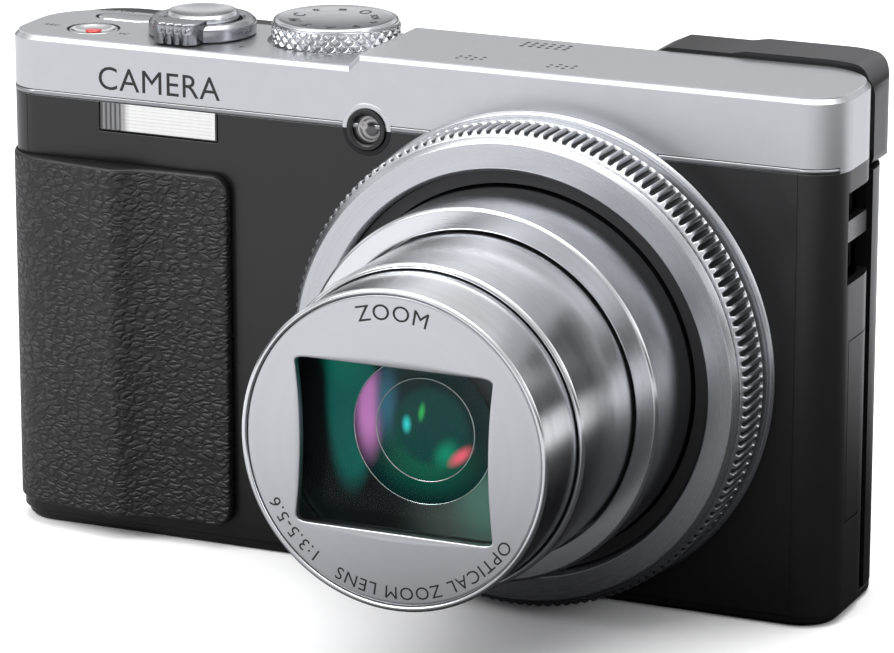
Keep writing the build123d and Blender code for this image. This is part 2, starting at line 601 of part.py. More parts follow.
with BuildPart() as speaker:
    post(LENS_X - 5.3, 12.2, (LOW_Z - TOP_PLATE - 3.2, LOW_Z - TOP_PLATE - 0.1), 3.6)
save(speaker, "speaker")

with BuildPart() as flash_window:
    block(FLASH_X, (-0.1, WALL + 0.1), (SEAM_Z - FLASH_HEIGHT, SEAM_Z - 0.02))
    lower = flash_window.edges().filter_by(Axis.Y).group_by(Axis.Z)[0]
    fillet(lower, 0.6)
save(flash_window, "flash_window")

with BuildPart() as flash_reflector:
    flash_z = (SEAM_Z - FLASH_HEIGHT - 0.6, SEAM_Z + 0.6)
    block((FLASH_X[0], FLASH_X[1]), (WALL + 0.2, 6.0), flash_z)
    with BuildSketch(Plane.YZ.offset(FLASH_X[0] + 0.5)) as trough:
        middle = sum(flash_z) / 2
        with BuildLine():
            mouth = FRONT_Y + WALL
            Polyline((mouth, middle - 1.9), (mouth, middle + 1.9))
            Spline(
                (mouth, middle + 1.9), (FRONT_Y + 4.0, middle + 1.4), (FRONT_Y + 5.4, middle),
                (FRONT_Y + 4.0, middle - 1.4), (mouth, middle - 1.9),
            )
        make_face()
    extrude(trough.sketch, amount=FLASH_WIDTH - 1.0, mode=Mode.SUBTRACT)
save(flash_reflector, "flash_reflector")

with BuildPart() as flash_tube:
    with BuildSketch(Plane.YZ.offset(FLASH_X[0] + 0.6)) as tube_section:
        with Locations((FRONT_Y + 4.2, sum(flash_z) / 2)):
            Circle(0.7)
    extrude(tube_section.sketch, amount=FLASH_WIDTH - 1.2)
save(flash_tube, "flash_tube")

with BuildPart() as af_lamp_window:
    rod(LAMP_X, SEAM_Z, (-0.15, WALL + 0.6), LAMP_R)
    fillet(af_lamp_window.edges().group_by(Axis.Y)[0], 0.12)
    rod(LAMP_X, SEAM_Z, (-1, 0.1), LAMP_R - 0.5, Mode.SUBTRACT)
    with Locations((LAMP_X, FRONT_Y + 4.1, SEAM_Z)):
        lamp_dome = Sphere(4.5, mode=Mode.PRIVATE)
    with BuildPart(mode=Mode.PRIVATE) as dome_limit:
        rod(LAMP_X, SEAM_Z, (-0.5, 1.0), LAMP_R - 0.5)
    add(lamp_dome & dome_limit.part)
save(af_lamp_window, "af_lamp_window")

with BuildPart() as strap_lug:
    cup_x = (HALF - 4.6, HALF - 2.7)
    lug_z = (STRAP_Z[0] + 0.1, STRAP_Z[1] - 0.1)
    lug_depth = (STRAP_DEPTH[0] + 0.1, STRAP_DEPTH[1] - 0.1)
    block(cup_x, lug_depth, lug_z)
    block((cup_x[0] + 0.6, HALF), (lug_depth[0] + 0.6, lug_depth[1] - 0.6),
          (lug_z[0] + 0.6, lug_z[1] - 0.6), Mode.SUBTRACT)
    BAR_Z = (STRAP_Z[0] + 4.4, STRAP_Z[0] + 7.0)
    bar_x = (HALF - 1.9, HALF - 0.9)
    block(bar_x, lug_depth, BAR_Z)
    for arm_depth in (lug_depth[0], lug_depth[1] - 0.6):
        block((cup_x[0] + 0.3, bar_x[1]), (arm_depth, arm_depth + 0.6), BAR_Z)
    front_plan(0, CASE_HEIGHT, 0.1, Mode.INTERSECT)
save(strap_lug, "strap_lug")

# ================= lens, fixed pieces =================

with BuildPart() as lens_flange:
    turned(
        (RING_BORE + 0.1, -FLANGE_THICK), (FLANGE_R - 0.4, -FLANGE_THICK), (FLANGE_R, -FLANGE_THICK + 0.4),
        (FLANGE_R, 0), (RING_BORE + 0.1, 0),
    )
save(lens_flange, "lens_flange")

with BuildPart() as lens_bezel:
    turned(
        (BEZEL_BORE, 0), (BEZEL_BORE, BEZEL_FRONT + 1.1), (BEZEL_BORE + 1.1, BEZEL_FRONT),
        (BEZEL_R - 0.8, BEZEL_FRONT), (BEZEL_R, BEZEL_FRONT + 0.7), (BEZEL_R, RING_FRONT - 0.1),
        (RING_BORE - FIT, RING_FRONT - 0.1), (RING_BORE - FIT, 0),
    )
save(lens_bezel, "lens_bezel")

with BuildPart() as control_ring:
    turned(
        (RING_BORE, RING_BACK), (RING_BORE, RING_FRONT), (RING_R - 0.6, RING_FRONT),
        (RING_R - 0.3, RING_FRONT + 0.5), (RING_R, RING_BACK - 0.3), (RING_R - 0.3, RING_BACK),
    )
save(control_ring, "control_ring")

with BuildPart() as lens_tube:
    turned(
        (TUBE_BORE, RING_FRONT + 0.2), (TUBE_R, RING_FRONT + 0.2), (TUBE_R, TUBE_END + TUBE_FLOOR),
        (9, TUBE_END + TUBE_FLOOR), (9, TUBE_END), (TUBE_BORE, TUBE_END),
    )
save(lens_tube, "lens_tube")

# ================= lens, moving pieces =================

LIP = 1.1


def barrel(number, rear_r, lip_r):
    """A telescoping barrel: tube, flange behind that guides it, lip in front that closes the gap."""
    front = BARREL_FRONT[number]
    back = front + BARREL_LENGTH[number]
    r = BARREL_R[number]
    bore = BORE[number]
    turned(
        (lip_r, front + 0.15), (lip_r + 0.15, front), (r - 0.3, front), (r, front + 0.3),
        (r, back - LIP), (rear_r, back - LIP), (rear_r, back), (bore, back),
        (bore, front + LIP), (lip_r, front + LIP),
    )


with BuildPart() as barrel_large:
    barrel(0, TUBE_BORE - 0.1, BARREL_R[1] + 0.25)
save(barrel_large, "barrel_large")

with BuildPart() as barrel_middle:
    barrel(1, BORE[0] - 0.1, BARREL_R[2] + 0.12)
    MIDDLE_BACK = BARREL_FRONT[1] + BARREL_LENGTH[1]
    turned((SECOND_R + 0.9, MIDDLE_BACK - 2), (BORE[1] + 0.2, MIDDLE_BACK - 2),
           (BORE[1] + 0.2, MIDDLE_BACK - 0.6), (SECOND_R + 0.9, MIDDLE_BACK - 0.6))
save(barrel_middle, "barrel_middle")

FACE_R = BORE[2] - FIT
FACE_FRONT = BARREL_FRONT[2] + 0.25
BLADE_FRONT = (FACE_FRONT + FACE_THICK + 0.2, FACE_FRONT + FACE_THICK + 0.4 + BLADE_THICK)
BAFFLE_FRONT = BLADE_FRONT[1] + BLADE_THICK + 0.25
BLADE_R = BORE[2] - 0.3

with BuildPart() as barrel_front:
    front = BARREL_FRONT[2]
    back = front + BARREL_LENGTH[2]
    turned(
        (BORE[2], front + 0.12), (BORE[2] + 0.12, front), (BARREL_R[2] - 0.25, front),
        (BARREL_R[2], front + 0.25), (BARREL_R[2], back), (BORE[2], back),
    )
save(barrel_front, "barrel_front")

with BuildPart() as lens_face:
    rod(LENS_X, LENS_Z, (FACE_FRONT, FACE_FRONT + FACE_THICK), FACE_R)
    pane(LENS_X, LENS_Z, OPENING_WIDTH, OPENING_HEIGHT, (-50, 0), OPENING_CORNER, Mode.SUBTRACT)
save(lens_face, "lens_face")

with BuildPart() as lens_baffle:
    back = BAFFLE_FRONT + 6.0
    turned(
        (GLASS_R + FIT, BAFFLE_FRONT), (FACE_R, BAFFLE_FRONT), (FACE_R, back), (SECOND_R - 0.4, back),
        (SECOND_R - 0.4, back - 0.8), (GLASS_R + FIT, back - 0.8),
    )
save(lens_baffle, "lens_baffle")


def lens_element(radius, front, edge, bulge_front, bulge_back):
    """A round glass: its edge thickness, and how far each face bulges (negative is hollow)."""
    back = front + edge
    with BuildSketch(Plane.XY.offset(LENS_Z)) as section:
        with BuildLine():
            axis_front = (LENS_X, FRONT_Y + front - bulge_front)
            rim_front = (LENS_X + radius, FRONT_Y + front)
            rim_back = (LENS_X + radius, FRONT_Y + back)
            axis_back = (LENS_X, FRONT_Y + back + bulge_back)
            TangentArc(axis_front, rim_front, tangent=(1, 0))
            Line(rim_front, rim_back)
            TangentArc(axis_back, rim_back, tangent=(1, 0))
            Line(axis_back, axis_front)
        make_face()
    revolve(section.sketch, axis=LENS_AXIS)


with BuildPart() as front_lens:
    lens_element(GLASS_R, BAFFLE_FRONT + 1.9, 1.2, 1.7, 0.6)
save(front_lens, "front_lens")

with BuildPart() as second_lens:
    lens_element(SECOND_R, BAFFLE_FRONT + 7.4, 2.0, 0.6, -0.7)
save(second_lens, "second_lens")

with BuildPart() as middle_lens:
    lens_element(SECOND_R + 0.8, MIDDLE_BACK - 2.0, 1.4, 1.2, 1.0)
save(middle_lens, "middle_lens")

BLADE_EDGE = OPENING_HEIGHT / 2 + 0.1
for side, sign in (("upper", 1), ("lower", -1)):
    for layer, depth in (("inner", BLADE_FRONT[1]), ("outer", BLADE_FRONT[0])):
        with BuildPart() as blade:
            rod(LENS_X, LENS_Z, (depth, depth + BLADE_THICK), BLADE_R)
            keep = sorted((LENS_Z + sign * BLADE_EDGE, LENS_Z + sign * 2 * BLADE_R))
            block((LENS_X - BLADE_R, LENS_X + BLADE_R), (depth - 1, depth + 2), keep, Mode.INTERSECT)
        save(blade, f"barrier_{side}_{layer}")

# ================= controls on top =================

LEVER_BOTTOM = LOW_Z + 0.2
LEVER_TOP = LOW_Z + 2.1

with BuildPart() as zoom_lever:
    post(LEVER_X, LEVER_DEPTH, (LEVER_BOTTOM, LEVER_TOP), LEVER_R)
    chamfer(zoom_lever.edges().group_by(Axis.Z)[-1], 0.35)
    tab_tip = LEVER_DEPTH - LEVER_TAB_REACH
    with BuildSketch(Plane.XY.offset(LEVER_BOTTOM)) as tab:
        with BuildLine():
            Polyline(
                (LEVER_X - 3.4, FRONT_Y + LEVER_DEPTH - 5.2), (LEVER_X - 1.8, FRONT_Y + tab_tip),
                (LEVER_X + 1.8, FRONT_Y + tab_tip), (LEVER_X + 3.4, FRONT_Y + LEVER_DEPTH - 5.2),
                close=True,
            )
        make_face()
    extrude(tab.sketch, amount=LEVER_TOP + 0.7 - LEVER_BOTTOM)
    post(LEVER_X, LEVER_DEPTH, (LOW_Z - TOP_PLATE, LEVER_BOTTOM), LEVER_R - 1.2)
    post(LEVER_X, LEVER_DEPTH, (LOW_Z + 0.5, CASE_HEIGHT + 9), SHUTTER_R + 0.4, Mode.SUBTRACT)
    post(LEVER_X, LEVER_DEPTH, (0, CASE_HEIGHT), 2.0 + BUTTON_GAP, Mode.SUBTRACT)
save(zoom_lever, "zoom_lever")

SHUTTER_TOP = LOW_Z + 2.9
with BuildPart() as shutter_button:
    post(LEVER_X, LEVER_DEPTH, (SHUTTER_TOP - 1.2, SHUTTER_TOP), SHUTTER_R)
    fillet(shutter_button.edges().group_by(Axis.Z)[-1], 0.4)
    post(LEVER_X, LEVER_DEPTH, (LOW_Z - 3.5, SHUTTER_TOP - 1.2), 2.0)
save(shutter_button, "shutter_button")

DIAL_BOTTOM = LOW_Z - 0.4
with BuildPart() as mode_dial:
    post(DIAL_X, DIAL_DEPTH, (DIAL_BOTTOM, DIAL_BOTTOM + DIAL_HEIGHT + 0.4), DIAL_R)
    chamfer(mode_dial.edges().group_by(Axis.Z)[-1], 0.5)
    post(DIAL_X, DIAL_DEPTH, (LOW_Z - 3.2, DIAL_BOTTOM), 2.0)
save(mode_dial, "mode_dial")

with BuildPart() as record_button:
    post(RECORD_X, RECORD_DEPTH, (LOW_Z - 2.6, LOW_Z + 0.05), RECORD_R)
    with Locations((RECORD_X, FRONT_Y + RECORD_DEPTH, LOW_Z + 7.4)):
        Sphere(8.0, mode=Mode.SUBTRACT)
save(record_button, "record_button")

with BuildPart() as power_button:
    pill(POWER_X, POWER_DEPTH, (LOW_Z - 2.2, LOW_Z + 0.1), POWER_LENGTH, POWER_WIDTH)
    fillet(power_button.edges().group_by(Axis.Z)[-1], 0.35)
save(power_button, "power_button")
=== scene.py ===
import bmesh
import bpy
import math
import numpy as np
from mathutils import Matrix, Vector


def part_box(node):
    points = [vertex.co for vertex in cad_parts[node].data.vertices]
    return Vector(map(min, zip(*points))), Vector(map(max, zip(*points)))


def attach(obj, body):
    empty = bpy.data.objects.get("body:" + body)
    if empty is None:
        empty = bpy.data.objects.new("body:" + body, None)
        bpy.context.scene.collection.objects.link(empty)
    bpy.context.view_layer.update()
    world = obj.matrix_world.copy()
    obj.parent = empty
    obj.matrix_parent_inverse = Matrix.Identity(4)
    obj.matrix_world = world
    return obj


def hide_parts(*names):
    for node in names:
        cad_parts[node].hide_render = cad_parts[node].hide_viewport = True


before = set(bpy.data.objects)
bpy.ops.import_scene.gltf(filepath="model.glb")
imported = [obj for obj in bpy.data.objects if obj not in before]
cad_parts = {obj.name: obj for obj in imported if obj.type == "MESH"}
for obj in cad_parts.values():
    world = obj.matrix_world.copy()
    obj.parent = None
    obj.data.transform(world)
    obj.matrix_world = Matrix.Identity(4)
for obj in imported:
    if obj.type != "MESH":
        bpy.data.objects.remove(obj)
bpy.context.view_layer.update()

# ================= chassis and inner works =================
# A pressed steel chassis carries the circuit board, battery, card, motor and speaker.  All of it is
# closed in by the covers, so these pieces keep their plain shapes and get shop finishes: rolled
# steel, green solder mask, moulded black, foil.

MM = 0.001      # sizes below are millimetres, and a mesh is written in metres


def extent(node):
    """The lowest and highest corners of a CAD node in millimetres."""
    low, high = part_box(node)
    return np.array(low) / MM, np.array(high) / MM


def axis_of(low, high, along):
    """The middle of a box, with 0 along this axis (0, 1 or 2)."""
    middle = (low + high) / 2
    middle[along] = 0.0
    return middle


def add_node(tree, kind, inputs=(), **settings):
    """Adds a node with these settings, and sets or plugs its inputs, given as {name or number: value}."""
    made = tree.nodes.new("ShaderNode" + kind)
    for name, value in settings.items():
        setattr(made, name, value)
    for name, value in dict(inputs).items():
        if isinstance(value, bpy.types.NodeSocket):
            tree.links.new(value, made.inputs[name])
        else:
            made.inputs[name].default_value = value
    return made


def maths(tree, operation, *values):
    """The output of a Math node over up to three values or sockets."""
    return add_node(tree, "Math", dict(enumerate(values)), operation=operation).outputs[0]


def own_place(tree):
    """The place of a point on its piece, in metres."""
    return add_node(tree, "TexCoord").outputs["Object"]


def smooth_step(tree, value, start, end):
    """From 0 where the value is start to 1 where it is end, by a smooth curve."""
    span = {"Value": value, "From Min": start, "From Max": end}
    return add_node(tree, "MapRange", span, interpolation_type="SMOOTHSTEP").outputs[0]


def blended(tree, factor, first, second, mode="MIX"):
    """The colour that a Mix node makes of two colours."""
    made = add_node(tree, "Mix", {0: factor, 6: first, 7: second}, data_type="RGBA", blend_type=mode)
    return made.outputs[2]


def new_group(name, inputs, outputs):
    """A shader node group with these named sockets; returns its tree, its input node and its output node."""
    kinds = {"C": "NodeSocketColor", "F": "NodeSocketFloat", "V": "NodeSocketVector"}
    tree = bpy.data.node_groups.new(name, "ShaderNodeTree")
    for label, kind, value in inputs:
        tree.interface.new_socket(label, in_out="INPUT", socket_type=kinds[kind]).default_value = value
    for label, kind in outputs:
        tree.interface.new_socket(label, in_out="OUTPUT", socket_type=kinds[kind])
    return tree, tree.nodes.new("NodeGroupInput"), tree.nodes.new("NodeGroupOutput")


def make_surface_grain():
    """Fine specks over broad clouds darken the colour a little, shift the gloss and dent the surface."""
    tree, given, result = new_group(
        "surface_grain",
        [("Colour", "C", (0.5, 0.5, 0.5, 1)), ("Darkening", "F", 0.1), ("Roughness", "F", 0.4),
         ("Spread", "F", 0.08), ("Specks per metre", "F", 3000), ("Depth", "F", 0.00001)],
        [("Colour", "C"), ("Roughness", "F"), ("Normal", "V")],
    )
    place = own_place(tree)
    fine_size = given.outputs["Specks per metre"]
    broad_size = maths(tree, "MULTIPLY", fine_size, 0.04)
    fine = add_node(tree, "TexNoise", {"Vector": place, "Scale": fine_size, "Detail": 2.0}).outputs[0]
    broad = add_node(tree, "TexNoise", {"Vector": place, "Scale": broad_size, "Detail": 3.0}).outputs[0]
    both = maths(tree, "MULTIPLY", maths(tree, "ADD", fine, broad), given.outputs["Darkening"])
    colour = blended(tree, both, given.outputs["Colour"], (0, 0, 0, 1))
    offset = maths(tree, "MULTIPLY", maths(tree, "SUBTRACT", broad, 0.5), given.outputs["Spread"])
    gloss = maths(tree, "ADD", given.outputs["Roughness"], offset)
    bump = add_node(tree, "Bump", {"Height": fine, "Distance": given.outputs["Depth"]})
    for label, value in (("Colour", colour), ("Roughness", gloss), ("Normal", bump.outputs[0])):
        tree.links.new(value, result.inputs[label])
    return tree


surface_grain = make_surface_grain()


def plain_shader(name, metal, coat=0.0):
    """A new material with these plain values; returns it with its node tree and Principled shader."""
    made = bpy.data.materials.new(name)
    made.use_nodes = True
    shader = made.node_tree.nodes["Principled BSDF"]
    shader.inputs["Metallic"].default_value = metal
    shader.inputs["Coat Weight"].default_value = coat
    return made, made.node_tree, shader


def grained(name, colour, rough, metal=0.0, specks=3000, depth=0.00001, darkening=0.1, spread=0.08, coat=0.0):
    """A paint, moulding or plate: one colour under surface_grain."""
    made, tree, shader = plain_shader(name, metal, coat)
    grain = add_node(tree, "Group", node_tree=surface_grain)
    values = ((*colour, 1), darkening, rough, spread, specks, depth)
    for socket, value in zip(grain.inputs, values):
        socket.default_value = value
    for source, target in (("Colour", "Base Color"), ("Roughness", "Roughness"), ("Normal", "Normal")):
        tree.links.new(grain.outputs[source], shader.inputs[target])
    return made


def dress(material, *nodes):
    """Gives CAD nodes this material in place of their plain one."""
    for node in nodes:
        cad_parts[node].material_slots[0].material = material


steel_plate = grained("steel_plate", (0.55, 0.55, 0.56), 0.34, metal=1.0, specks=900, darkening=0.16)
moulded_black = grained("moulded_black", (0.016, 0.016, 0.017), 0.5, specks=5000, depth=0.00002)
wrapped_cell = grained("wrapped_cell", (0.06, 0.065, 0.075), 0.42, specks=700, darkening=0.2)
mirror_foil = grained("mirror_foil", (0.85, 0.85, 0.86), 0.12, metal=1.0, specks=600, darkening=0.05)
dress(steel_plate, "chassis", "zoom_motor")
dress(moulded_black, "memory_card", "speaker", "pad_plate", "lens_tube")
dress(wrapped_cell, "battery")
dress(mirror_foil, "flash_reflector")


def make_board_material():
    """Green solder mask with copper runs: a brick pattern marks the runs, and specks mark the small parts."""
    made, tree, shader = plain_shader("solder_mask", 0.0, coat=0.4)
    place = own_place(tree)
    flat = add_node(
        tree, "Mapping", {"Vector": place, "Rotation": (math.pi / 2, 0, 0)}, vector_type="TEXTURE"
    )
    runs = add_node(
        tree, "TexBrick",
        {"Vector": flat.outputs[0], "Color1": (0.01, 0.09, 0.045, 1), "Color2": (0.012, 0.11, 0.05, 1),
         "Mortar": (0.05, 0.2, 0.1, 1), "Scale": 260.0, "Mortar Size": 0.06},
    )
    parts = add_node(tree, "TexVoronoi", {"Vector": place, "Scale": 420.0}).outputs["Distance"]
    spots = maths(tree, "LESS_THAN", parts, 0.18)
    colour = blended(tree, spots, runs.outputs[0], (0.5, 0.45, 0.32, 1))
    tree.links.new(colour, shader.inputs["Base Color"])
    tree.links.new(maths(tree, "MULTIPLY_ADD", spots, -0.2, 0.5), shader.inputs["Roughness"])
    return made


dress(make_board_material(), "main_board")


def make_glass(name, colour, rough, bend=1.5):
    """Clear glass or plastic, its colour a little uneven.  A coated glass has a low bend, as it throws less
    back."""
    made, tree, shader = plain_shader(name, 0.0)
    place = own_place(tree)
    haze = add_node(tree, "TexNoise", {"Vector": place, "Scale": 90.0}).outputs[0]
    tint = blended(tree, maths(tree, "MULTIPLY", haze, 0.06), (*colour, 1), (0, 0, 0, 1))
    tree.links.new(tint, shader.inputs["Base Color"])
    shader.inputs["Roughness"].default_value = rough
    shader.inputs["IOR"].default_value = bend
    shader.inputs["Transmission Weight"].default_value = 1.0
    return made


clear_glass = make_glass("clear_glass", (0.96, 0.98, 0.97), 0.02)
dress(clear_glass, "flash_tube", "middle_lens", "eyepiece_lens")
dark_screen = grained("dark_screen", (0.012, 0.013, 0.018), 0.12, specks=400, depth=0.0, coat=0.6)
dress(dark_screen, "image_sensor", "display_panel", "viewfinder_screen")

# ================= lens barrels =================
# Three drawn aluminium tubes slide in one another, with a guide rim behind and a turned-in lip in
# front that closes the gap to the next tube.  They are finely turned and clear anodised, with a
# bright chamfer on each front edge.

lens_low, lens_high = extent("lens_bezel")
LENS_AXIS = axis_of(lens_low, lens_high, 1)


def skin(name, points, rows_close=False, columns_close=False, faces=()):
    """A mesh over a grid of points in millimetres: cell (i, j) is the quad on rows i, i+1 and columns j, j+1.
    Points that fall together, as at a pole, become one, and the faces are turned outwards."""
    rows, columns = points.shape[:2]
    numbers = np.arange(rows * columns).reshape(rows, columns)
    if rows_close:
        numbers = np.vstack([numbers, numbers[:1]])
    if columns_close:
        numbers = np.hstack([numbers, numbers[:, :1]])
    quads = np.stack([numbers[:-1, :-1], numbers[:-1, 1:], numbers[1:, 1:], numbers[1:, :-1]], -1)
    mesh = bpy.data.meshes.new(name)
    mesh.from_pydata(points.reshape(-1, 3) * MM, [], quads.reshape(-1, 4).tolist() + [list(f) for f in faces])
    shell = bmesh.new()
    shell.from_mesh(mesh)
    bmesh.ops.remove_doubles(shell, verts=shell.verts, dist=1e-7)
    bmesh.ops.recalc_face_normals(shell, faces=shell.faces)
    shell.to_mesh(mesh)
    shell.free()
    mesh.shade_smooth()
    made = bpy.data.objects.new(name, mesh)
    bpy.context.scene.collection.objects.link(made)
    even = made.modifiers.new("even shading", "WEIGHTED_NORMAL")
    even.keep_sharp = True
    return made


def eased(corners, radius=0.12, steps=4, closed=True):
    """An outline with round corners.  A corner P becomes the curve (1-t)^2 A + 2t(1-t) P + t^2 B, where A
    and B lie the radius before and after it; an open outline keeps its two ends."""
    corner = np.array(corners, float)
    before, after = np.roll(corner, 1, 0) - corner, np.roll(corner, -1, 0) - corner
    long_before = np.maximum(np.linalg.norm(before, axis=1, keepdims=True), 1e-9)
    long_after = np.maximum(np.linalg.norm(after, axis=1, keepdims=True), 1e-9)
    start = corner + before * np.minimum(radius / long_before, 0.45)
    end = corner + after * np.minimum(radius / long_after, 0.45)
    t = np.linspace(0, 1, steps)[:, None, None]
    curve = (1 - t) ** 2 * start + 2 * t * (1 - t) * corner + t**2 * end
    curve = curve.transpose(1, 0, 2)
    if closed:
        return curve.reshape(-1, 2)
    return np.vstack([corner[:1], curve[1:-1].reshape(-1, 2), corner[-1:]])


def lathe(name, profile, centre, upright=False, columns=240, closed=True):
    """A turned piece: each profile point (r, h) becomes the circle r cos a, r sin a at height h along the
    axis, which runs along Y, or along Z when upright."""
    angle = np.linspace(0, 2 * np.pi, columns, endpoint=False)
    radius, height = np.array(profile, float).T
    flat = np.ones(columns)
    circle = [np.outer(radius, np.cos(angle)), np.outer(radius, np.sin(angle)), np.outer(height, flat)]
    order = (0, 1, 2) if upright else (0, 2, 1)
    points = np.stack([circle[k] for k in order], -1) + centre
    return skin(name, points, rows_close=closed, columns_close=True)


def settle(piece, material, body, slot, *nodes):
    """Gives a finished piece its material and its body, and hides the CAD nodes that it stands for; the slot
    is not used.
    """
    piece.data.materials.append(material)
    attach(piece, body)
    if nodes:
        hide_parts(*nodes)
    return piece


def make_turning_marks():
    """Marks of a lathe tool: noise over (distance from the axis, height), which runs round in circles."""
    tree, given, result = new_group(
        "turning_marks",
        [("Place", "V", (0, 0, 0)), ("Colour", "C", (0.5, 0.5, 0.5, 1)), ("Roughness", "F", 0.3),
         ("Marks per metre", "F", 9000), ("Depth", "F", 0.000004), ("Spread", "F", 0.1)],
        [("Colour", "C"), ("Roughness", "F"), ("Normal", "V")],
    )
    axes = add_node(tree, "SeparateXYZ", {0: given.outputs["Place"]}).outputs
    out = add_node(tree, "CombineXYZ", {0: axes[0], 1: axes[1]}).outputs[0]
    radius = add_node(tree, "VectorMath", {0: out}, operation="LENGTH").outputs["Value"]
    ring = add_node(tree, "CombineXYZ", {0: radius, 1: axes[2]}).outputs[0]
    marks = add_node(
        tree, "TexNoise", {"Vector": ring, "Scale": given.outputs["Marks per metre"], "Detail": 3.0}
    ).outputs[0]
    slow = add_node(tree, "TexNoise", {"Vector": ring, "Scale": 700.0, "Detail": 2.0}).outputs[0]
    colour = blended(tree, maths(tree, "MULTIPLY", slow, 0.12), given.outputs["Colour"], (0, 0, 0, 1))
    offset = maths(tree, "MULTIPLY", maths(tree, "SUBTRACT", slow, 0.5), given.outputs["Spread"])
    gloss = maths(tree, "ADD", given.outputs["Roughness"], offset)
    bump = add_node(tree, "Bump", {"Height": marks, "Distance": given.outputs["Depth"]})
    for label, value in (("Colour", colour), ("Roughness", gloss), ("Normal", bump.outputs[0])):
        tree.links.new(value, result.inputs[label])
    return tree


turning_marks = make_turning_marks()


def spun(name, colour, rough, centre, upright=False, marks=9000, depth=0.000004, spread=0.1):
    """A turned metal finish about an axis through centre, which runs along Y, or along Z when upright."""
    made, tree, shader = plain_shader(name, 1.0)
    turn = (0, 0, 0) if upright else (math.pi / 2, 0, 0)
    place = add_node(
        tree, "Mapping",
        {"Vector": own_place(tree), "Location": np.array(centre) * MM, "Rotation": turn},
        vector_type="TEXTURE",
    )
    group = add_node(tree, "Group", node_tree=turning_marks)
    tree.links.new(place.outputs[0], group.inputs["Place"])
    for label, value in (("Colour", (*colour, 1)), ("Roughness", rough), ("Marks per metre", marks),
                         ("Depth", depth), ("Spread", spread)):
        group.inputs[label].default_value = value
    for source, target in (("Colour", "Base Color"), ("Roughness", "Roughness"), ("Normal", "Normal")):
        tree.links.new(group.outputs[source], shader.inputs[target])
    return made


barrel_metal = spun("barrel_metal", (0.72, 0.73, 0.75), 0.19, LENS_AXIS)
BARREL_WALL = 0.65
LIP_LENGTH = 1.1

# body, outer radius, radius of the lip, radius of the guide rim behind
for body, radius, lip, rim in (
    ("barrel_large", 22.3, 19.65, 22.5),
    ("barrel_middle", 19.4, 18.72, 21.55),
):
    low, high = extent(body)
    front, back = low[1], high[1] if body == "barrel_large" else low[1] + 18.97
    bore = radius - BARREL_WALL
    outline = eased(
        [(lip, front + 0.15), (lip + 0.15, front), (radius - 0.3, front), (radius, front + 0.3),
         (radius, back - LIP_LENGTH), (rim, back - LIP_LENGTH), (rim, back), (bore, back),
         (bore, front + LIP_LENGTH), (lip, front + LIP_LENGTH)],
        0.1,
    )
    settle(lathe(body + "_tube", outline, LENS_AXIS), barrel_metal, body, "barrel_metal", body)

low, high = extent("barrel_front")
FRONT_R = (high[0] - low[0]) / 2
FRONT_BORE = FRONT_R - BARREL_WALL
front_outline = eased(
    [(FRONT_BORE, low[1] + 0.14), (FRONT_BORE + 0.14, low[1]), (FRONT_R - 0.25, low[1]),
     (FRONT_R, low[1] + 0.25), (FRONT_R, high[1]), (FRONT_BORE, high[1])],
    0.08,
)
front_tube = lathe("barrel_front_tube", front_outline, LENS_AXIS)
settle(front_tube, barrel_metal, "barrel_front", "barrel_metal", "barrel_front")

# ================= lens face and its lettering =================
# A turned silver disc glued into the front barrel, with a window a little wider than high whose sides
# bow inwards.  Generic lettering is printed round it in black ink.

face_low, face_high = extent("lens_face")
FACE_R = (face_high[0] - face_low[0]) / 2
WINDOW_HALF = np.array([12.05, 9.6])
WINDOW_BOW = 0.65


def window_outline(count=240):
    """The window: a rounded rectangle whose two sides bow in by WINDOW_BOW (1 - z^2), sampled by angle."""
    across, tall = WINDOW_HALF
    z = np.linspace(-1, 1, 15)
    side = np.stack([across - WINDOW_BOW * (1 - z**2), z * tall], -1)
    corners = np.vstack([side, -side])
    ring = eased(corners, 1.8, 9)
    ring = np.vstack([ring, ring[:1]])
    along = np.concatenate([[0], np.cumsum(np.linalg.norm(np.diff(ring, axis=0), axis=1))])
    wanted = np.linspace(0, along[-1], count, endpoint=False)
    return np.stack([np.interp(wanted, along, ring[:, k]) for k in (0, 1)], -1)


def make_lens_face():
    """Rows run from the window's back edge over its bevel, out across the face, and back behind the rim."""
    hole = window_outline()
    way = hole / np.linalg.norm(hole, axis=1, keepdims=True)
    rim = way * FACE_R
    front, back = face_low[1], face_high[1]
    rows = [(hole, back), (hole, front + 0.16), (hole + way * 0.03, front + 0.06), (hole + way * 0.12, front)]
    rows += [(hole + (rim - hole) * s, front) for s in (0.12, 0.4, 0.7, 0.95)]
    rows += [(rim - way * 0.1, front), (rim, front + 0.1), (rim, back)]
    points = [np.stack([flat[:, 0], np.full(len(flat), y), flat[:, 1]], -1) for flat, y in rows]
    return skin("lens_face_disc", np.array(points) + LENS_AXIS, rows_close=True, columns_close=True)


face_silver = spun("face_silver", (0.62, 0.63, 0.655), 0.36, LENS_AXIS, depth=0.000002)
settle(make_lens_face(), face_silver, "barrel_front", "spun_metal", "lens_face")


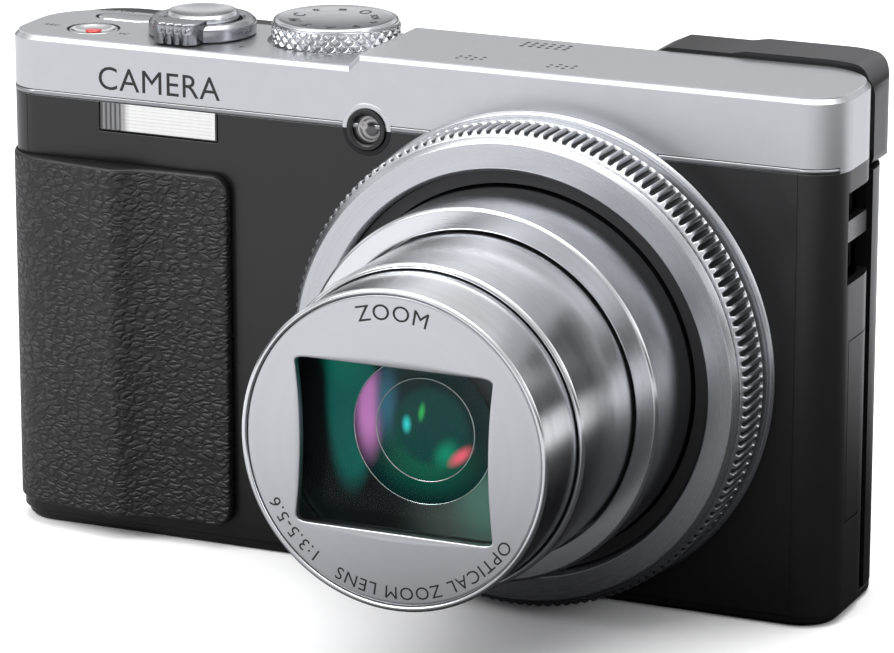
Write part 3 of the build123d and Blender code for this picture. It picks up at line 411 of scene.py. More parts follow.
def letters(name, words, size, place, spacing=1.0, thick=0.012):
    """Printed words: flat text, its lower left at the origin, made a mesh and then carried by place(u, v, w),
    which takes every point's way along, way up and height over the surface."""
    curve = bpy.data.curves.new(name, "FONT")
    curve.body, curve.size, curve.space_character = words, size, spacing
    curve.align_x = "CENTER"
    curve.resolution_u, curve.extrude = 4, thick / 2
    source = bpy.data.objects.new(name + "_source", curve)
    mesh = bpy.data.meshes.new_from_object(source)
    bpy.data.objects.remove(source)
    flat = np.empty(len(mesh.vertices) * 3)
    mesh.vertices.foreach_get("co", flat)
    u, v, w = flat.reshape(-1, 3).T
    mesh.vertices.foreach_set("co", (place(u, v, w + thick / 2) * MM).ravel())
    shell = bmesh.new()
    shell.from_mesh(mesh)
    bmesh.ops.remove_doubles(shell, verts=shell.verts, dist=1e-8)
    bmesh.ops.recalc_face_normals(shell, faces=shell.faces)
    shell.to_mesh(mesh)
    shell.free()
    made = bpy.data.objects.new(name, mesh)
    bpy.context.scene.collection.objects.link(made)
    return made


def round_the_face(radius, middle, outward):
    """Carries text round the lens axis: way along becomes an angle from middle (degrees), way up a radius.
    Outward letters have their tops away from the axis, and the others towards it."""
    def place(u, v, w):
        way = 1 if outward else -1
        angle = math.radians(middle) - way * u / radius
        r = radius + way * v
        y = np.full(len(u), face_low[1]) - w
        return np.stack([r * np.cos(angle), y, r * np.sin(angle)], -1) + LENS_AXIS
    return place


black_ink = grained("black_ink", (0.012, 0.012, 0.013), 0.45, specks=9000, depth=0.000003)
for name, words, size, radius, middle, outward in (
    ("face_word", "ZOOM", 2.6, 15.0, 90, True),
    ("face_figures", "OPTICAL ZOOM LENS   1:3.5-5.6", 2.1, 15.75, -93, True),
):
    text = letters(name, words, size, round_the_face(radius, middle, outward), 1.12)
    settle(text, black_ink, "barrel_front", "gloss_black")

# ================= glass of the lens =================
# A domed front glass sits in a black cup behind the window.  Behind it a coned ring leads to the
# second glass.  The green, teal and magenta that the coated glass throws back are painted reflections on the
# cup and the second glass, partly given off as a glow.

glass_low, glass_high = extent("front_lens")
GLASS_R = (glass_high[0] - glass_low[0]) / 2
cup_low, cup_high = extent("lens_baffle")
second_low, second_high = extent("second_lens")
CONE_MOUTH = 8.5


def dome(radius, apex, rim, thick, rows=24):
    """Profile of a round glass: a parabola from apex to rim, then straight back, then flat to the axis."""
    r = np.linspace(0, radius, rows)
    face = np.stack([r, apex + (rim - apex) * (r / radius) ** 2], -1)
    return np.vstack([face, [(radius, rim + thick), (0, rim + thick)]])


coated_glass = make_glass("coated_glass", (0.9, 1.0, 0.97), 0.0, bend=1.12)
front_glass = lathe(
    "front_glass", dome(GLASS_R, glass_low[1], glass_low[1] + 1.7, 1.2), LENS_AXIS, columns=160, closed=False
)
settle(front_glass, coated_glass, "barrel_front", "clear_glass", "front_lens")


def make_soft_spot():
    """One at the middle of an ellipse in the X Z plane, falling smoothly to nought at its edge."""
    tree, given, result = new_group(
        "soft_spot",
        [("Place", "V", (0, 0, 0)), ("Centre", "V", (0, 0, 0)), ("Turn", "F", 0.0),
         ("Half width", "F", 0.001), ("Half height", "F", 0.001), ("Edge", "F", 0.5)],
        [("Mask", "F")],
    )
    shift = add_node(
        tree, "VectorMath", {0: given.outputs["Place"], 1: given.outputs["Centre"]}, operation="SUBTRACT"
    )
    turned = add_node(
        tree, "VectorRotate",
        {
            "Vector": shift.outputs[0], "Angle": given.outputs["Turn"], "Axis": (0, 1, 0)
        }, rotation_type="AXIS_ANGLE",
    )
    axes = add_node(tree, "SeparateXYZ", {0: turned.outputs[0]}).outputs
    wide = maths(tree, "DIVIDE", axes[0], given.outputs["Half width"])
    tall = maths(tree, "DIVIDE", axes[2], given.outputs["Half height"])
    squares = maths(tree, "ADD", maths(tree, "POWER", wide, 2.0), maths(tree, "POWER", tall, 2.0))
    reach = maths(tree, "SQRT", squares)
    inner = maths(tree, "SUBTRACT", 1.0, given.outputs["Edge"])
    tree.links.new(smooth_step(tree, reach, 1.0, inner), result.inputs["Mask"])
    return tree


soft_spot = make_soft_spot()


def painted_reflections(name, base, rough, spots, glow):
    """A dark glossy surface with soft spots of painted reflection: each is (x, z, half width, half height,
    degrees, edge, colour), measured from the lens axis.  A share of the colour is given off as a painted
    glow."""
    made, tree, shader = plain_shader(name, 0.0)
    shader.inputs["Specular IOR Level"].default_value = 0.15
    centred = add_node(
        tree, "VectorMath", {0: own_place(tree), 1: LENS_AXIS * MM}, operation="SUBTRACT"
    ).outputs[0]
    colour = (*base, 1)
    for x, z, wide, tall, degrees, edge, paint in spots:
        spot = add_node(tree, "Group", node_tree=soft_spot)
        tree.links.new(centred, spot.inputs["Place"])
        spot.inputs["Centre"].default_value = (x * MM, 0, z * MM)
        spot.inputs["Turn"].default_value = math.radians(degrees)
        spot.inputs["Half width"].default_value = wide * MM
        spot.inputs["Half height"].default_value = tall * MM
        spot.inputs["Edge"].default_value = edge
        colour = blended(tree, spot.outputs[0], colour, (*paint, 1))
    shader.inputs["Roughness"].default_value = rough
    shader.inputs["Emission Strength"].default_value = glow
    tree.links.new(colour, shader.inputs["Base Color"])
    tree.links.new(colour, shader.inputs["Emission Color"])
    return made


# Painted reflections on the cup: green and grey spots, partly given off as a glow.
cone_painted_reflections = painted_reflections(
    "cone_painted_reflections", (0.0015, 0.002, 0.0022), 0.42,
    [
        (6, -10, 10, 8, 0, 0.9, (0.05, 0.058, 0.054)),
        (8, -7, 6, 7, 30, 0.9, (0.06, 0.12, 0.1)),
        (11, 9, 8, 7, 0, 0.9, (0.07, 0.07, 0.078)),
        (-8.4, 3, 3.4, 12, 0, 0.35, (0.0, 0.1, 0.085)),
        (-9.2, 8, 3.2, 5, 0, 0.8, (0.0, 0.14, 0.1)),
        (-12, -11, 8, 6, 0, 0.8, (0.004, 0.006, 0.006)),
    ],
    0.55,
)
cone_profile = eased(
    [(FACE_R - 0.01, cup_low[1]), (FACE_R - 0.01, cup_high[1]), (CONE_MOUTH, cup_high[1]),
     (CONE_MOUTH, cup_high[1] - 0.25), (GLASS_R - 0.35, cup_low[1] + 3.7), (GLASS_R + 0.05, cup_low[1] + 3.5),
     (GLASS_R + 0.05, cup_low[1])],
    0.1,
)
glass_cup = lathe("glass_cup", cone_profile, LENS_AXIS, columns=160)
settle(glass_cup, cone_painted_reflections, "barrel_front", "matte_black", "lens_baffle")

# Painted reflections and glints on the second glass: teal, magenta, cyan, green and red spots, mostly given
# off as a glow.
second_glass_painted_reflections = painted_reflections(
    "second_glass_painted_reflections", (0.001, 0.009, 0.011), 0.07,
    [
        (0, -3.5, 8.4, 6.0, 0, 0.9, (0.0, 0.06, 0.036)),
        (-7.2, 1.6, 2.4, 7.6, 0, 0.75, (0.44, 0.15, 0.38)),
        (-5.0, 2.5, 2.2, 6.0, 0, 1.0, (0.02, 0.09, 0.14)),
        (0.5, 0.3, 5.0, 5.0, 0, 0.25, (0.0, 0.03, 0.026)),
        (2.3, -2.6, 1.8, 2.6, -35, 1.0, (0.0, 0.16, 0.09)),
        (4.0, -2.7, 1.0, 2.4, -48, 0.9, (0.62, 0.08, 0.12)),
        (-2.4, 0.3, 0.75, 1.4, 0, 0.9, (0.02, 0.42, 0.42)),
        (-0.6, 1.9, 0.55, 1.5, -8, 0.9, (0.02, 0.3, 0.07)),
    ],
    0.9,
)
second_glass = lathe(
    "second_glass", dome(
        (second_high[0] - second_low[0]) / 2, second_low[1], second_low[1] + 0.6, 1.9
    ), LENS_AXIS,
    columns=128, closed=False,
)
settle(second_glass, second_glass_painted_reflections, "barrel_front", "clear_glass", "second_lens")

bright_edge = spun("bright_edge", (0.75, 0.77, 0.78), 0.18, LENS_AXIS)
for name, radius, depth in (("retaining_wire", 5.9, 0.28), ("mount_wire", 8.42, 0.75)):
    angle = np.linspace(0, 2 * np.pi, 10, endpoint=False)
    section = np.stack([radius + 0.07 * np.cos(angle), second_low[1] - depth + 0.07 * np.sin(angle)], -1)
    settle(lathe(name, section, LENS_AXIS, columns=160), bright_edge, "barrel_front", "bright_metal")

blade_black = grained("blade_black", (0.02, 0.02, 0.021), 0.35, metal=0.4, specks=6000)
dress(
    blade_black, *[f"barrier_{side}_{layer}" for side in ("upper", "lower") for layer in ("inner", "outer")]
)

# ================= bezel, control ring and flange =================
# The turned bezel is screwed to the lens tube and holds the control ring against the flange.  The
# ring has about 150 axial grooves, cut through its front bevel so that each rib ends in a point.

ring_silver = spun("ring_silver", (0.55, 0.56, 0.585), 0.27, LENS_AXIS)
bezel_front = lens_low[1]
BEZEL_R = (lens_high[0] - lens_low[0]) / 2
BEZEL_BORE = 24.2
ring_low, ring_high = extent("control_ring")
RING_R = (ring_high[0] - ring_low[0]) / 2
RING_BORE = 26.6
bezel_outline = eased(
    [(BEZEL_BORE, lens_high[1]), (BEZEL_BORE, bezel_front + 0.6), (BEZEL_BORE + 0.45, bezel_front),
     (BEZEL_R - 0.95, bezel_front), (BEZEL_R - 0.32, bezel_front + 0.6), (BEZEL_R - 0.32, ring_low[1] - 0.1),
     (RING_BORE - 0.05, ring_low[1] - 0.1), (RING_BORE - 0.05, lens_high[1])],
    0.06,
)
settle(lathe("bezel", bezel_outline, LENS_AXIS, columns=320), ring_silver, "case", "spun_metal", "lens_bezel")

GROOVES = 150
GROOVE_DEPTH = 0.5
GROOVE_BACK = ring_high[1] - 1.9


def make_control_ring():
    """The outside is the lower of two radii: the turned profile, and R - depth g(a), where the wave g(a) is
    0 over each rib and 1 along each groove's floor.  The grooves end in a short ramp behind."""
    columns = GROOVES * 12
    angle = np.linspace(0, 2 * np.pi, columns, endpoint=False)
    phase = (angle * GROOVES / (2 * np.pi)) % 1.0
    floor = np.clip((0.34 - np.abs(phase - 0.5)) / 0.16, 0, 1)
    front, back = ring_low[1], ring_high[1]
    y = np.concatenate([
        [front], np.linspace(front + 0.04, front + 0.62, 9), [
            front + 2.4, GROOVE_BACK - 0.35, GROOVE_BACK - 0.1
        ],
        [GROOVE_BACK, GROOVE_BACK + 0.08, back - 0.4, back - 0.3, back - 0.12, back],
    ])
    turned = np.interp(
        y, [front, front + 0.6, back - 0.32, back], [RING_R - 0.75, RING_R - 0.12, RING_R, RING_R - 0.3]
    )
    deep = GROOVE_DEPTH * np.clip((GROOVE_BACK - y) / 0.35, 0, 1)
    radius = np.minimum(
        turned[:, None], RING_R - 0.08 - deep[:, None] * floor[None, :] + 0.08 * (deep[:, None] == 0)
    )
    inner = np.full((2, columns), RING_BORE)
    radius = np.vstack([radius, inner])
    y = np.concatenate([y, [back, front]])
    points = np.stack(
        [radius * np.cos(angle), np.repeat(y[:, None], columns, 1), radius * np.sin(angle)], -1
    )
    return skin("grooved_ring", points + LENS_AXIS, rows_close=True, columns_close=True)


def make_ring_metal():
    """Satin silver on the ribs, with painted shade down the grooves: the shade follows the distance from the
    lens axis, over the grooved length only."""
    made, tree, shader = plain_shader("grooved_metal", 1.0)
    place = own_place(tree)
    off = add_node(tree, "VectorMath", {0: place, 1: LENS_AXIS * MM}, operation="SUBTRACT").outputs[0]
    flat = add_node(tree, "VectorMath", {0: off, 1: (1, 0, 1)}, operation="MULTIPLY").outputs[0]
    reach = add_node(tree, "VectorMath", {0: flat}, operation="LENGTH").outputs["Value"]
    # Painted shade: the colour darkens and the gloss dulls towards the floor of each groove.
    deep = smooth_step(tree, reach, (RING_R - 0.2) * MM, (RING_R - 0.42) * MM)
    along = add_node(tree, "SeparateXYZ", {0: place}).outputs[1]
    behind_bevel = maths(tree, "GREATER_THAN", along, (ring_low[1] + 0.5) * MM)
    groove_painted_shade = maths(tree, "MULTIPLY", deep, behind_bevel)
    tree.links.new(
        blended(tree, groove_painted_shade, (0.58, 0.59, 0.615, 1), (0.05, 0.05, 0.053, 1)), shader.inputs["Base Color"]
    )
    tree.links.new(maths(tree, "MULTIPLY_ADD", groove_painted_shade, 0.2, 0.3), shader.inputs["Roughness"])
    return made


settle(make_control_ring(), make_ring_metal(), "control_ring", "spun_metal", "control_ring")

flange_low, flange_high = extent("lens_flange")
FLANGE_R = (flange_high[0] - flange_low[0]) / 2
flange_outline = eased(
    [(RING_BORE + 0.1, flange_low[1]), (FLANGE_R - 0.35, flange_low[1]), (FLANGE_R, flange_low[1] + 0.35),
     (FLANGE_R, flange_high[1]), (RING_BORE + 0.1, flange_high[1])],
    0.06,
)
settle(
    lathe("flange", flange_outline, LENS_AXIS, columns=320), ring_silver, "case", "spun_metal", "lens_flange"
)

# ================= case covers =================
# The front panel is charcoal lacquer over a pressed shell; the side, rear and bottom covers are
# moulded in black and meet it in fine seams.  Each edge has a small round, so that the seams show.


def eased_copy(name, node, radius, segments=3):
    """A copy of a CAD node's shell: its loose triangles are merged, flat ones joined, and edges of over
    35 degrees rounded."""
    shell = bmesh.new()
    shell.from_mesh(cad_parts[node].data)
    bmesh.ops.remove_doubles(shell, verts=shell.verts, dist=1e-6)
    bmesh.ops.dissolve_limit(shell, angle_limit=math.radians(0.5), verts=shell.verts, edges=shell.edges)
    bmesh.ops.recalc_face_normals(shell, faces=shell.faces)
    mesh = bpy.data.meshes.new(name)
    shell.to_mesh(mesh)
    shell.free()
    if "custom_normal" in mesh.attributes:
        mesh.attributes.remove(mesh.attributes["custom_normal"])
    mesh.shade_smooth()
    made = bpy.data.objects.new(name, mesh)
    bpy.context.scene.collection.objects.link(made)
    round_edges = made.modifiers.new("rounded edges", "BEVEL")
    round_edges.width, round_edges.segments = radius * MM, segments
    round_edges.limit_method, round_edges.angle_limit = "ANGLE", math.radians(35)
    round_edges.harden_normals = True
    return made


charcoal = grained(
    "charcoal_lacquer", (0.0035, 0.0035, 0.0037), 0.38, metal=0.0, specks=9000, depth=0.000004, coat=0.15
)
black_shell = grained(
    "black_shell", (0.0045, 0.0045, 0.0048), 0.36, specks=6000, depth=0.000004, spread=0.05, coat=0.1
)
settle(eased_copy("front_panel", "front_cover", 0.1), charcoal, "case", "charcoal_paint", "front_cover")
for node, radius in (
    ("side_cover_left", 0.1), ("side_cover_right", 0.1), ("rear_cover", 0.12), ("bottom_cover", 0.1)
):
    settle(eased_copy(node + "_shell", node, radius), black_shell, "case", "black_paint", node)
for name, node, radius, finish, slot in (
    ("port_flap", "port_cover", 0.12, black_shell, "black_paint"),
    ("battery_flap", "battery_door", 0.12, black_shell, "black_paint"),
    ("battery_slide", "battery_catch", 0.06, moulded_black, "button_plastic"),
):
    settle(eased_copy(name, node, radius), finish, node, slot, node)
dress(steel_plate, "case_screws", "tripod_bush")
lug_metal = grained("lug_metal", (0.05, 0.05, 0.053), 0.28, metal=0.8, specks=4000)
settle(eased_copy("strap_bar", "strap_lug", 0.15), lug_metal, "case", "dark_metal", "strap_lug")

# ================= top cover =================
# One shell die-cast and painted satin silver.  A bright cut bevel runs round it, and the top plate
# stands a little over the bevel, with a lower level for the controls.

top_low, top_high = extent("top_cover")
satin_silver = grained(
    "satin_silver", (0.56, 0.57, 0.59), 0.3,
    metal=0.95, specks=12000, depth=0.0000025, darkening=0.05, spread=0.04,
)
dress(satin_silver, "top_cover")

# ================= grip =================
# A moulded rubber pad in wrinkled leather grain, glued over the left end of the front.  It has a
# crest for the fingers with a valley behind it, smooth side walls, and a round on every edge.

grip_low, grip_high = extent("grip")
CASE_CORNER = 4.7
case_left = top_low[0]
case_front = top_low[1]
# crest line in plan, from the left end round to the right edge, as (x, y) from the case's front left corner
GRIP_PLAN = np.array([
    (-0.68, 8.9), (-0.66, 6.6), (-0.3, 4.0), (1.0, 0.95), (3.3, -0.95), (6.6, -1.95), (10.4, -2.45),
    (13.4, -2.95), (15.6, -3.24), (16.5, -3.28), (17.4, -3.0), (19.0, -2.25), (20.8, -1.75), (22.9, -1.48),
    (25.4, -1.4), (28.4, -1.44), (31.2, -1.5),
])


def smooth_line(points, count):
    """A curve through the points at even steps of length: between two it is the Catmull-Rom cubic of four."""
    p = np.vstack([2 * points[0] - points[1], points, 2 * points[-1] - points[-2]])
    t = np.linspace(0, 1, 24, endpoint=False)[:, None, None]
    a, b, c, d = p[:-3], p[1:-2], p[2:-1], p[3:]
    curve = 0.5 * (2 * b + (c - a) * t + (2 * a - 5 * b + 4 * c - d) * t**2 + (3 * b - a - 3 * c + d) * t**3)
    curve = np.vstack([curve.transpose(1, 0, 2).reshape(-1, 2), points[-1:]])
    along = np.concatenate([[0], np.cumsum(np.linalg.norm(np.diff(curve, axis=0), axis=1))])
    wanted = np.linspace(0, along[-1], count)
    return np.stack([np.interp(wanted, along, curve[:, k]) for k in (0, 1)], -1), along[-1]


def packed_ends(count, length, edge):
    """Steps from 0 to length that crowd together within the edge width at both ends."""
    close = edge * np.array([0, 0.0, 0.08, 0.22, 0.42, 0.7, 1.0])[1:]
    middle = np.linspace(edge, length - edge, count)[1:-1]
    return np.concatenate([close, middle, length - close[::-1]])


GRIP_ROUND = 0.45
GRIP_CORNER = 2.3


def make_grip():
    """The outer face is the plan curve carried up.  Near the border it falls to the case by a quarter round,
    w = sqrt(1 - (1 - d / r)^2), where d is the way to the border, whose right corners are arcs."""
    line, length = smooth_line(GRIP_PLAN, 600)
    z = packed_ends(150, grip_high[2] - grip_low[2], GRIP_ROUND) + grip_low[2]
    s = packed_ends(150, length, GRIP_ROUND)
    from_end = np.minimum(z - grip_low[2], grip_high[2] - z)
    inset = np.clip(GRIP_CORNER - from_end, 0, None)
    last = length - GRIP_CORNER + np.sqrt(np.clip(GRIP_CORNER**2 - inset**2, 0, None))
    along = s[:, None] / length * last[None, :]
    to_side = np.minimum(along, last[None, :] - along)
    border = np.minimum(to_side, from_end[None, :])
    t = np.clip(border / GRIP_ROUND, 0, 1)
    rise = np.sqrt(np.clip(1 - (1 - t) ** 2, 0, 1))
    at = along / length * 599
    outer = np.stack([np.interp(at, np.arange(600), line[:, k]) for k in (0, 1)], -1)
    centre = np.array([CASE_CORNER, CASE_CORNER])
    spoke = outer - centre
    spoke /= np.linalg.norm(spoke, axis=-1, keepdims=True)
    corner = centre + CASE_CORNER * spoke
    front = np.stack([outer[..., 0], np.zeros_like(rise)], -1)
    side = np.stack([np.zeros_like(rise), outer[..., 1]], -1)
    base = np.where(outer[..., :1] > CASE_CORNER, front, np.where(outer[..., 1:] > CASE_CORNER, side, corner))
    stand = np.linalg.norm(outer - base, axis=-1)
    wall = np.clip(1 - GRIP_ROUND / stand, 0, 1) * (border > 0) + (
        1 - np.clip(1 - GRIP_ROUND / stand, 0, 1)
    ) * rise
    flat = base + (outer - base) * wall[..., None]
    height = np.broadcast_to(z, rise.shape)
    points = np.stack([flat[..., 0] + case_left, flat[..., 1] + case_front, height], -1)
    columns = len(z)
    rows = len(s)
    first = np.arange(rows - 1) * columns
    back = np.stack([first, first + columns, first + 2 * columns - 1, first + columns - 1], -1).tolist()
    back.append(list(range((rows - 1) * columns, rows * columns)))
    back.append(list(range(columns)))
    return skin("leather_pad", points, faces=back)


def make_leather():
    """Wrinkled grain: creased cells from stretched and bent Voronoi edges, over finer pebbles, with painted
    shade in the creases.  The walls that face up and down stay smooth."""
    made, tree, shader = plain_shader("leather_grain", 0.0)
    place = own_place(tree)
    warp = add_node(tree, "TexNoise", {"Vector": place, "Scale": 700.0, "Detail": 2.0}).outputs["Color"]
    bent = add_node(
        tree, "VectorMath", {0: warp, 1: (0.0011, 0.0011, 0.0011), 2: place}, operation="MULTIPLY_ADD"
    )
    turned = add_node(
        tree, "Mapping", {
            "Vector": bent.outputs[0], "Rotation": (0, math.radians(32), 0), "Scale": (1.0, 1.0, 1.9)
        }
    )
    creases = add_node(
        tree, "TexVoronoi", {
            "Vector": turned.outputs[0], "Scale": 700.0, "Randomness": 1.0
        }, feature="DISTANCE_TO_EDGE"
    ).outputs["Distance"]
    cells = smooth_step(tree, creases, 0.0, 0.3)
    pebbles = add_node(
        tree, "TexNoise", {"Vector": bent.outputs[0], "Scale": 2600.0, "Detail": 2.0}
    ).outputs[0]
    height = maths(tree, "MULTIPLY_ADD", pebbles, 0.5, cells)
    facing = add_node(
        tree, "SeparateXYZ", {0: add_node(tree, "NewGeometry").outputs["True Normal"]}
    ).outputs[2]
    tilt = maths(tree, "MULTIPLY", maths(tree, "ABSOLUTE", facing), 2.5)
    on_face = maths(tree, "SUBTRACT", 1.0, maths(tree, "MINIMUM", tilt, 1.0))
    height = maths(tree, "MULTIPLY", height, on_face)
    bump = add_node(tree, "Bump", {"Height": height, "Distance": 0.00013, "Strength": 1.0})
    tree.links.new(bump.outputs[0], shader.inputs["Normal"])
    # Painted shade: the colour darkens into the creases, and the walls that face up and down take the dark
    # crease colour.
    colour = blended(
        tree, maths(tree, "MULTIPLY", cells, on_face), (0.006, 0.006, 0.006, 1), (0.02, 0.02, 0.0205, 1)
    )
    tree.links.new(colour, shader.inputs["Base Color"])
    tree.links.new(maths(tree, "MULTIPLY_ADD", cells, -0.1, 0.52), shader.inputs["Roughness"])
    return made


settle(make_grip(), make_leather(), "case", "leather_grip", "grip")

# ================= flash =================
# A clear acrylic window under the top cover: a narrow ridged end for the metering cell, then a
# frosted Fresnel panel in front of the flash tube, with a polished lower edge.

flash_low, flash_high = extent("flash_window")
FLASH_SPLIT = flash_low[0] + 2.75


def make_flash_window():
    """A slab whose front is a height field: shallow waves across the ridged end, fine steps down the panel,
    a groove between them, and a round that falls back at the border."""
    x = np.linspace(flash_low[0], flash_high[0], 200)
    z = np.linspace(flash_low[2], flash_high[2], 60)
    from_x = np.minimum(x - x[0], x[-1] - x)[:, None]
    from_z = (z - z[0])[None, :]
    edge = np.clip(np.minimum(from_x, from_z) / 0.3, 0, 1)
    ridged = (x < FLASH_SPLIT)[:, None]
    waves = 0.05 * np.abs(np.sin((x - x[0]) * math.pi / 0.62))[:, None]
    steps = 0.03 * (((z - z[0]) / 0.42) % 1.0)[None, :]
    groove = 0.14 * np.clip(1 - np.abs(x - FLASH_SPLIT) / 0.16, 0, 1)[:, None]
    sunk = np.where(ridged, waves, steps) + groove + 0.35 * (1 - np.sqrt(1 - (1 - edge) ** 2))
    front = np.stack(np.broadcast_arrays(x[:, None], flash_low[1] + 0.01 + sunk, z[None, :]), -1)
    rows, columns = front.shape[:2]
    behind = front[[0, -1]] * 1.0
    behind[..., 1] = flash_high[1]
    points = np.concatenate([behind[:1], front, behind[1:]])
    foot = np.arange(rows + 2) * columns
    ends = [foot.tolist(), (foot + columns - 1).tolist()]
    back = [[0, (rows + 1) * columns, (rows + 2) * columns - 1, columns - 1]]
    return skin("flash_panel", points, faces=ends + back)


def make_flash_material():
    """Frosted white acrylic with a fine square mesh in the panel; the ridged end is dark glass with painted
    grey highlights along its ridges, and the whole gives off a faint painted glow.
    """
    made, tree, shader = plain_shader("flash_acrylic", 0.0, coat=0.8)
    axes = add_node(tree, "SeparateXYZ", {0: own_place(tree)}).outputs
    end = smooth_step(tree, axes[0], (FLASH_SPLIT - 0.1) * MM, (FLASH_SPLIT + 1.6) * MM)
    # Painted highlights: grey stripes along the ridges of the clear end.
    stripes = maths(tree, "SINE", maths(tree, "MULTIPLY", axes[0], 2 * math.pi / (0.62 * MM)))
    rows = maths(tree, "SINE", maths(tree, "MULTIPLY", axes[2], 2 * math.pi / (0.42 * MM)))
    uprights = maths(tree, "SINE", maths(tree, "MULTIPLY", axes[0], 2 * math.pi / (1.25 * MM)))
    mesh = maths(tree, "MULTIPLY_ADD", maths(tree, "MAXIMUM", rows, uprights), 0.06, 0.5)
    clear = blended(
        tree, maths(tree, "MULTIPLY_ADD", stripes, 0.5, 0.5), (0.006, 0.006, 0.007, 1), (0.2, 0.2, 0.2, 1)
    )
    frosted = blended(tree, mesh, (0.82, 0.82, 0.81, 1), (0.6, 0.6, 0.59, 1))
    colour = blended(tree, end, clear, frosted)
    over = maths(tree, "SUBTRACT", flash_low[0] * MM, axes[0])
    under = maths(tree, "SUBTRACT", flash_low[2] * MM, axes[2])
    beyond = maths(tree, "SUBTRACT", axes[0], flash_high[0] * MM)
    outside = maths(tree, "MAXIMUM", maths(tree, "MAXIMUM", over, under), beyond)
    colour = blended(tree, maths(tree, "GREATER_THAN", outside, -0.28 * MM), colour, (0.008, 0.008, 0.008, 1))
    tree.links.new(colour, shader.inputs["Base Color"])
    # Painted glow: the acrylic gives off a tenth of its colour as light.
    tree.links.new(colour, shader.inputs["Emission Color"])
    shader.inputs["Emission Strength"].default_value = 0.1
    tree.links.new(maths(tree, "MULTIPLY_ADD", end, 0.2, 0.08), shader.inputs["Roughness"])
    return made


settle(make_flash_window(), make_flash_material(), "case", "frosted_plastic", "flash_window")

# ================= focus lamp =================
# A small domed lamp between the top cover and the front panel, in a black ring.  A silver collar
# runs round it, its lower half painted black as shade, and carries on along the seam as a thin silver line.

lamp_low, lamp_high = extent("af_lamp_window")
LAMP_CENTRE = axis_of(lamp_low, lamp_high, 1)
lamp_front = lamp_low[1]
LAMP_BACK = -10.6
lamp_tube = eased(
    [(2.48, LAMP_BACK), (2.48, lamp_front), (2.05, lamp_front), (1.8, lamp_front + 0.2), (1.8, LAMP_BACK)],
    0.08,
)
lamp_ring = lathe("lamp_ring", lamp_tube, LAMP_CENTRE, columns=96)
settle(lamp_ring, black_shell, "case", "gloss_black", "af_lamp_window")


def make_lamp_glass():
    """Dark glass with painted reflections: grey rings as soft bands along three circles set beside the
    middle.
    """
    made, tree, shader = plain_shader("lamp_glass", 0.0, coat=1.0)
    place = own_place(tree)
    light = None
    # Painted reflections: each band is a grey ring of light on the reflector inside the lamp.
    for x, z, radius, width in ((0.5, 0.1, 1.45, 0.22), (0.75, 0.15, 1.05, 0.3), (-0.3, 0.5, 0.35, 0.3)):
        spot = tuple((LAMP_CENTRE + (x, 0, z)) * MM)
        away = add_node(tree, "VectorMath", {0: place, 1: spot}, operation="SUBTRACT").outputs[0]
        flat = add_node(tree, "VectorMath", {0: away, 1: (1, 0, 1)}, operation="MULTIPLY").outputs[0]
        reach = add_node(tree, "VectorMath", {0: flat}, operation="LENGTH").outputs["Value"]
        off = maths(tree, "ABSOLUTE", maths(tree, "SUBTRACT", reach, radius * MM))
        band = smooth_step(tree, off, width * MM, 0.0)
        light = band if light is None else maths(tree, "MAXIMUM", light, band)
    tree.links.new(
        blended(tree, light, (0.03, 0.028, 0.028, 1), (0.35, 0.34, 0.34, 1)), shader.inputs["Base Color"]
    )
    tree.links.new(maths(tree, "MULTIPLY_ADD", light, 0.2, 0.05), shader.inputs["Roughness"])
    return made


lamp_dome = dome(1.82, lamp_front + 0.16, lamp_front + 0.55, 1.2, rows=12)
settle(lathe(
    "lamp_dome", lamp_dome, LAMP_CENTRE, columns=96, closed=False
), make_lamp_glass(), "case", "clear_glass")


def make_collar_paint():
    """Satin silver, painted black below the seam as shade."""
    made, tree, shader = plain_shader("collar_paint", 0.6)
    height = add_node(tree, "SeparateXYZ", {0: own_place(tree)}).outputs[2]
    above = maths(tree, "GREATER_THAN", height, (LAMP_CENTRE[2] + 0.02) * MM)
    specks = add_node(tree, "TexNoise", {"Scale": 9000.0}).outputs[0]
    silver = blended(tree, maths(tree, "MULTIPLY", specks, 0.1), (0.62, 0.63, 0.65, 1), (0, 0, 0, 1))
    # Painted shade: the lower half of the collar is black.
    tree.links.new(blended(tree, above, (0.014, 0.014, 0.015, 1), silver), shader.inputs["Base Color"])
    shader.inputs["Roughness"].default_value = 0.32
    return made


collar_back, collar_front = case_front + 0.4, case_front - 0.09
collar = eased([(2.58, collar_back), (2.58, collar_front), (3.15, collar_front), (3.3, collar_back)], 0.07)
settle(lathe("lamp_collar", collar, LAMP_CENTRE, columns=96), make_collar_paint(), "case", "silver_paint")

# ================= seam trim =================
# A thin polished strip pressed on along the foot of the top cover, round the front corners, with a
# fine dark gap above it and below it.

SEAM = top_low[2]


def trim_line(name, low, high, proud):
    """A flat strip carried along the front's plan: a quarter circle of the corner's radius at the left, a
    straight, and two thirds of a quarter at the right, set out by proud; its section is a rectangle."""
    left = np.radians(np.linspace(-90, 0, 24))
    right = np.radians(np.linspace(0, 60, 18))
    reach = CASE_CORNER + proud
    middle = case_front + CASE_CORNER
    plan = np.vstack([
        np.stack([case_left + CASE_CORNER + reach * np.sin(left), middle - reach * np.cos(left)], -1),
        np.stack([-case_left - CASE_CORNER + reach * np.sin(right), middle - reach * np.cos(right)], -1),
    ])
    bends = np.concatenate([left, right])
    behind = plan - 0.25 * np.stack([np.sin(bends), -np.cos(bends)], -1)
    def at(line, z):
        return np.column_stack([line, np.full(len(line), z)])
    rows = np.stack([at(plan, low), at(plan, high), at(behind, high), at(behind, low)], 1)
    last = (len(plan) - 1) * 4
    return skin(name, rows, columns_close=True, faces=[[0, 1, 2, 3], [last + 3, last + 2, last + 1, last]])


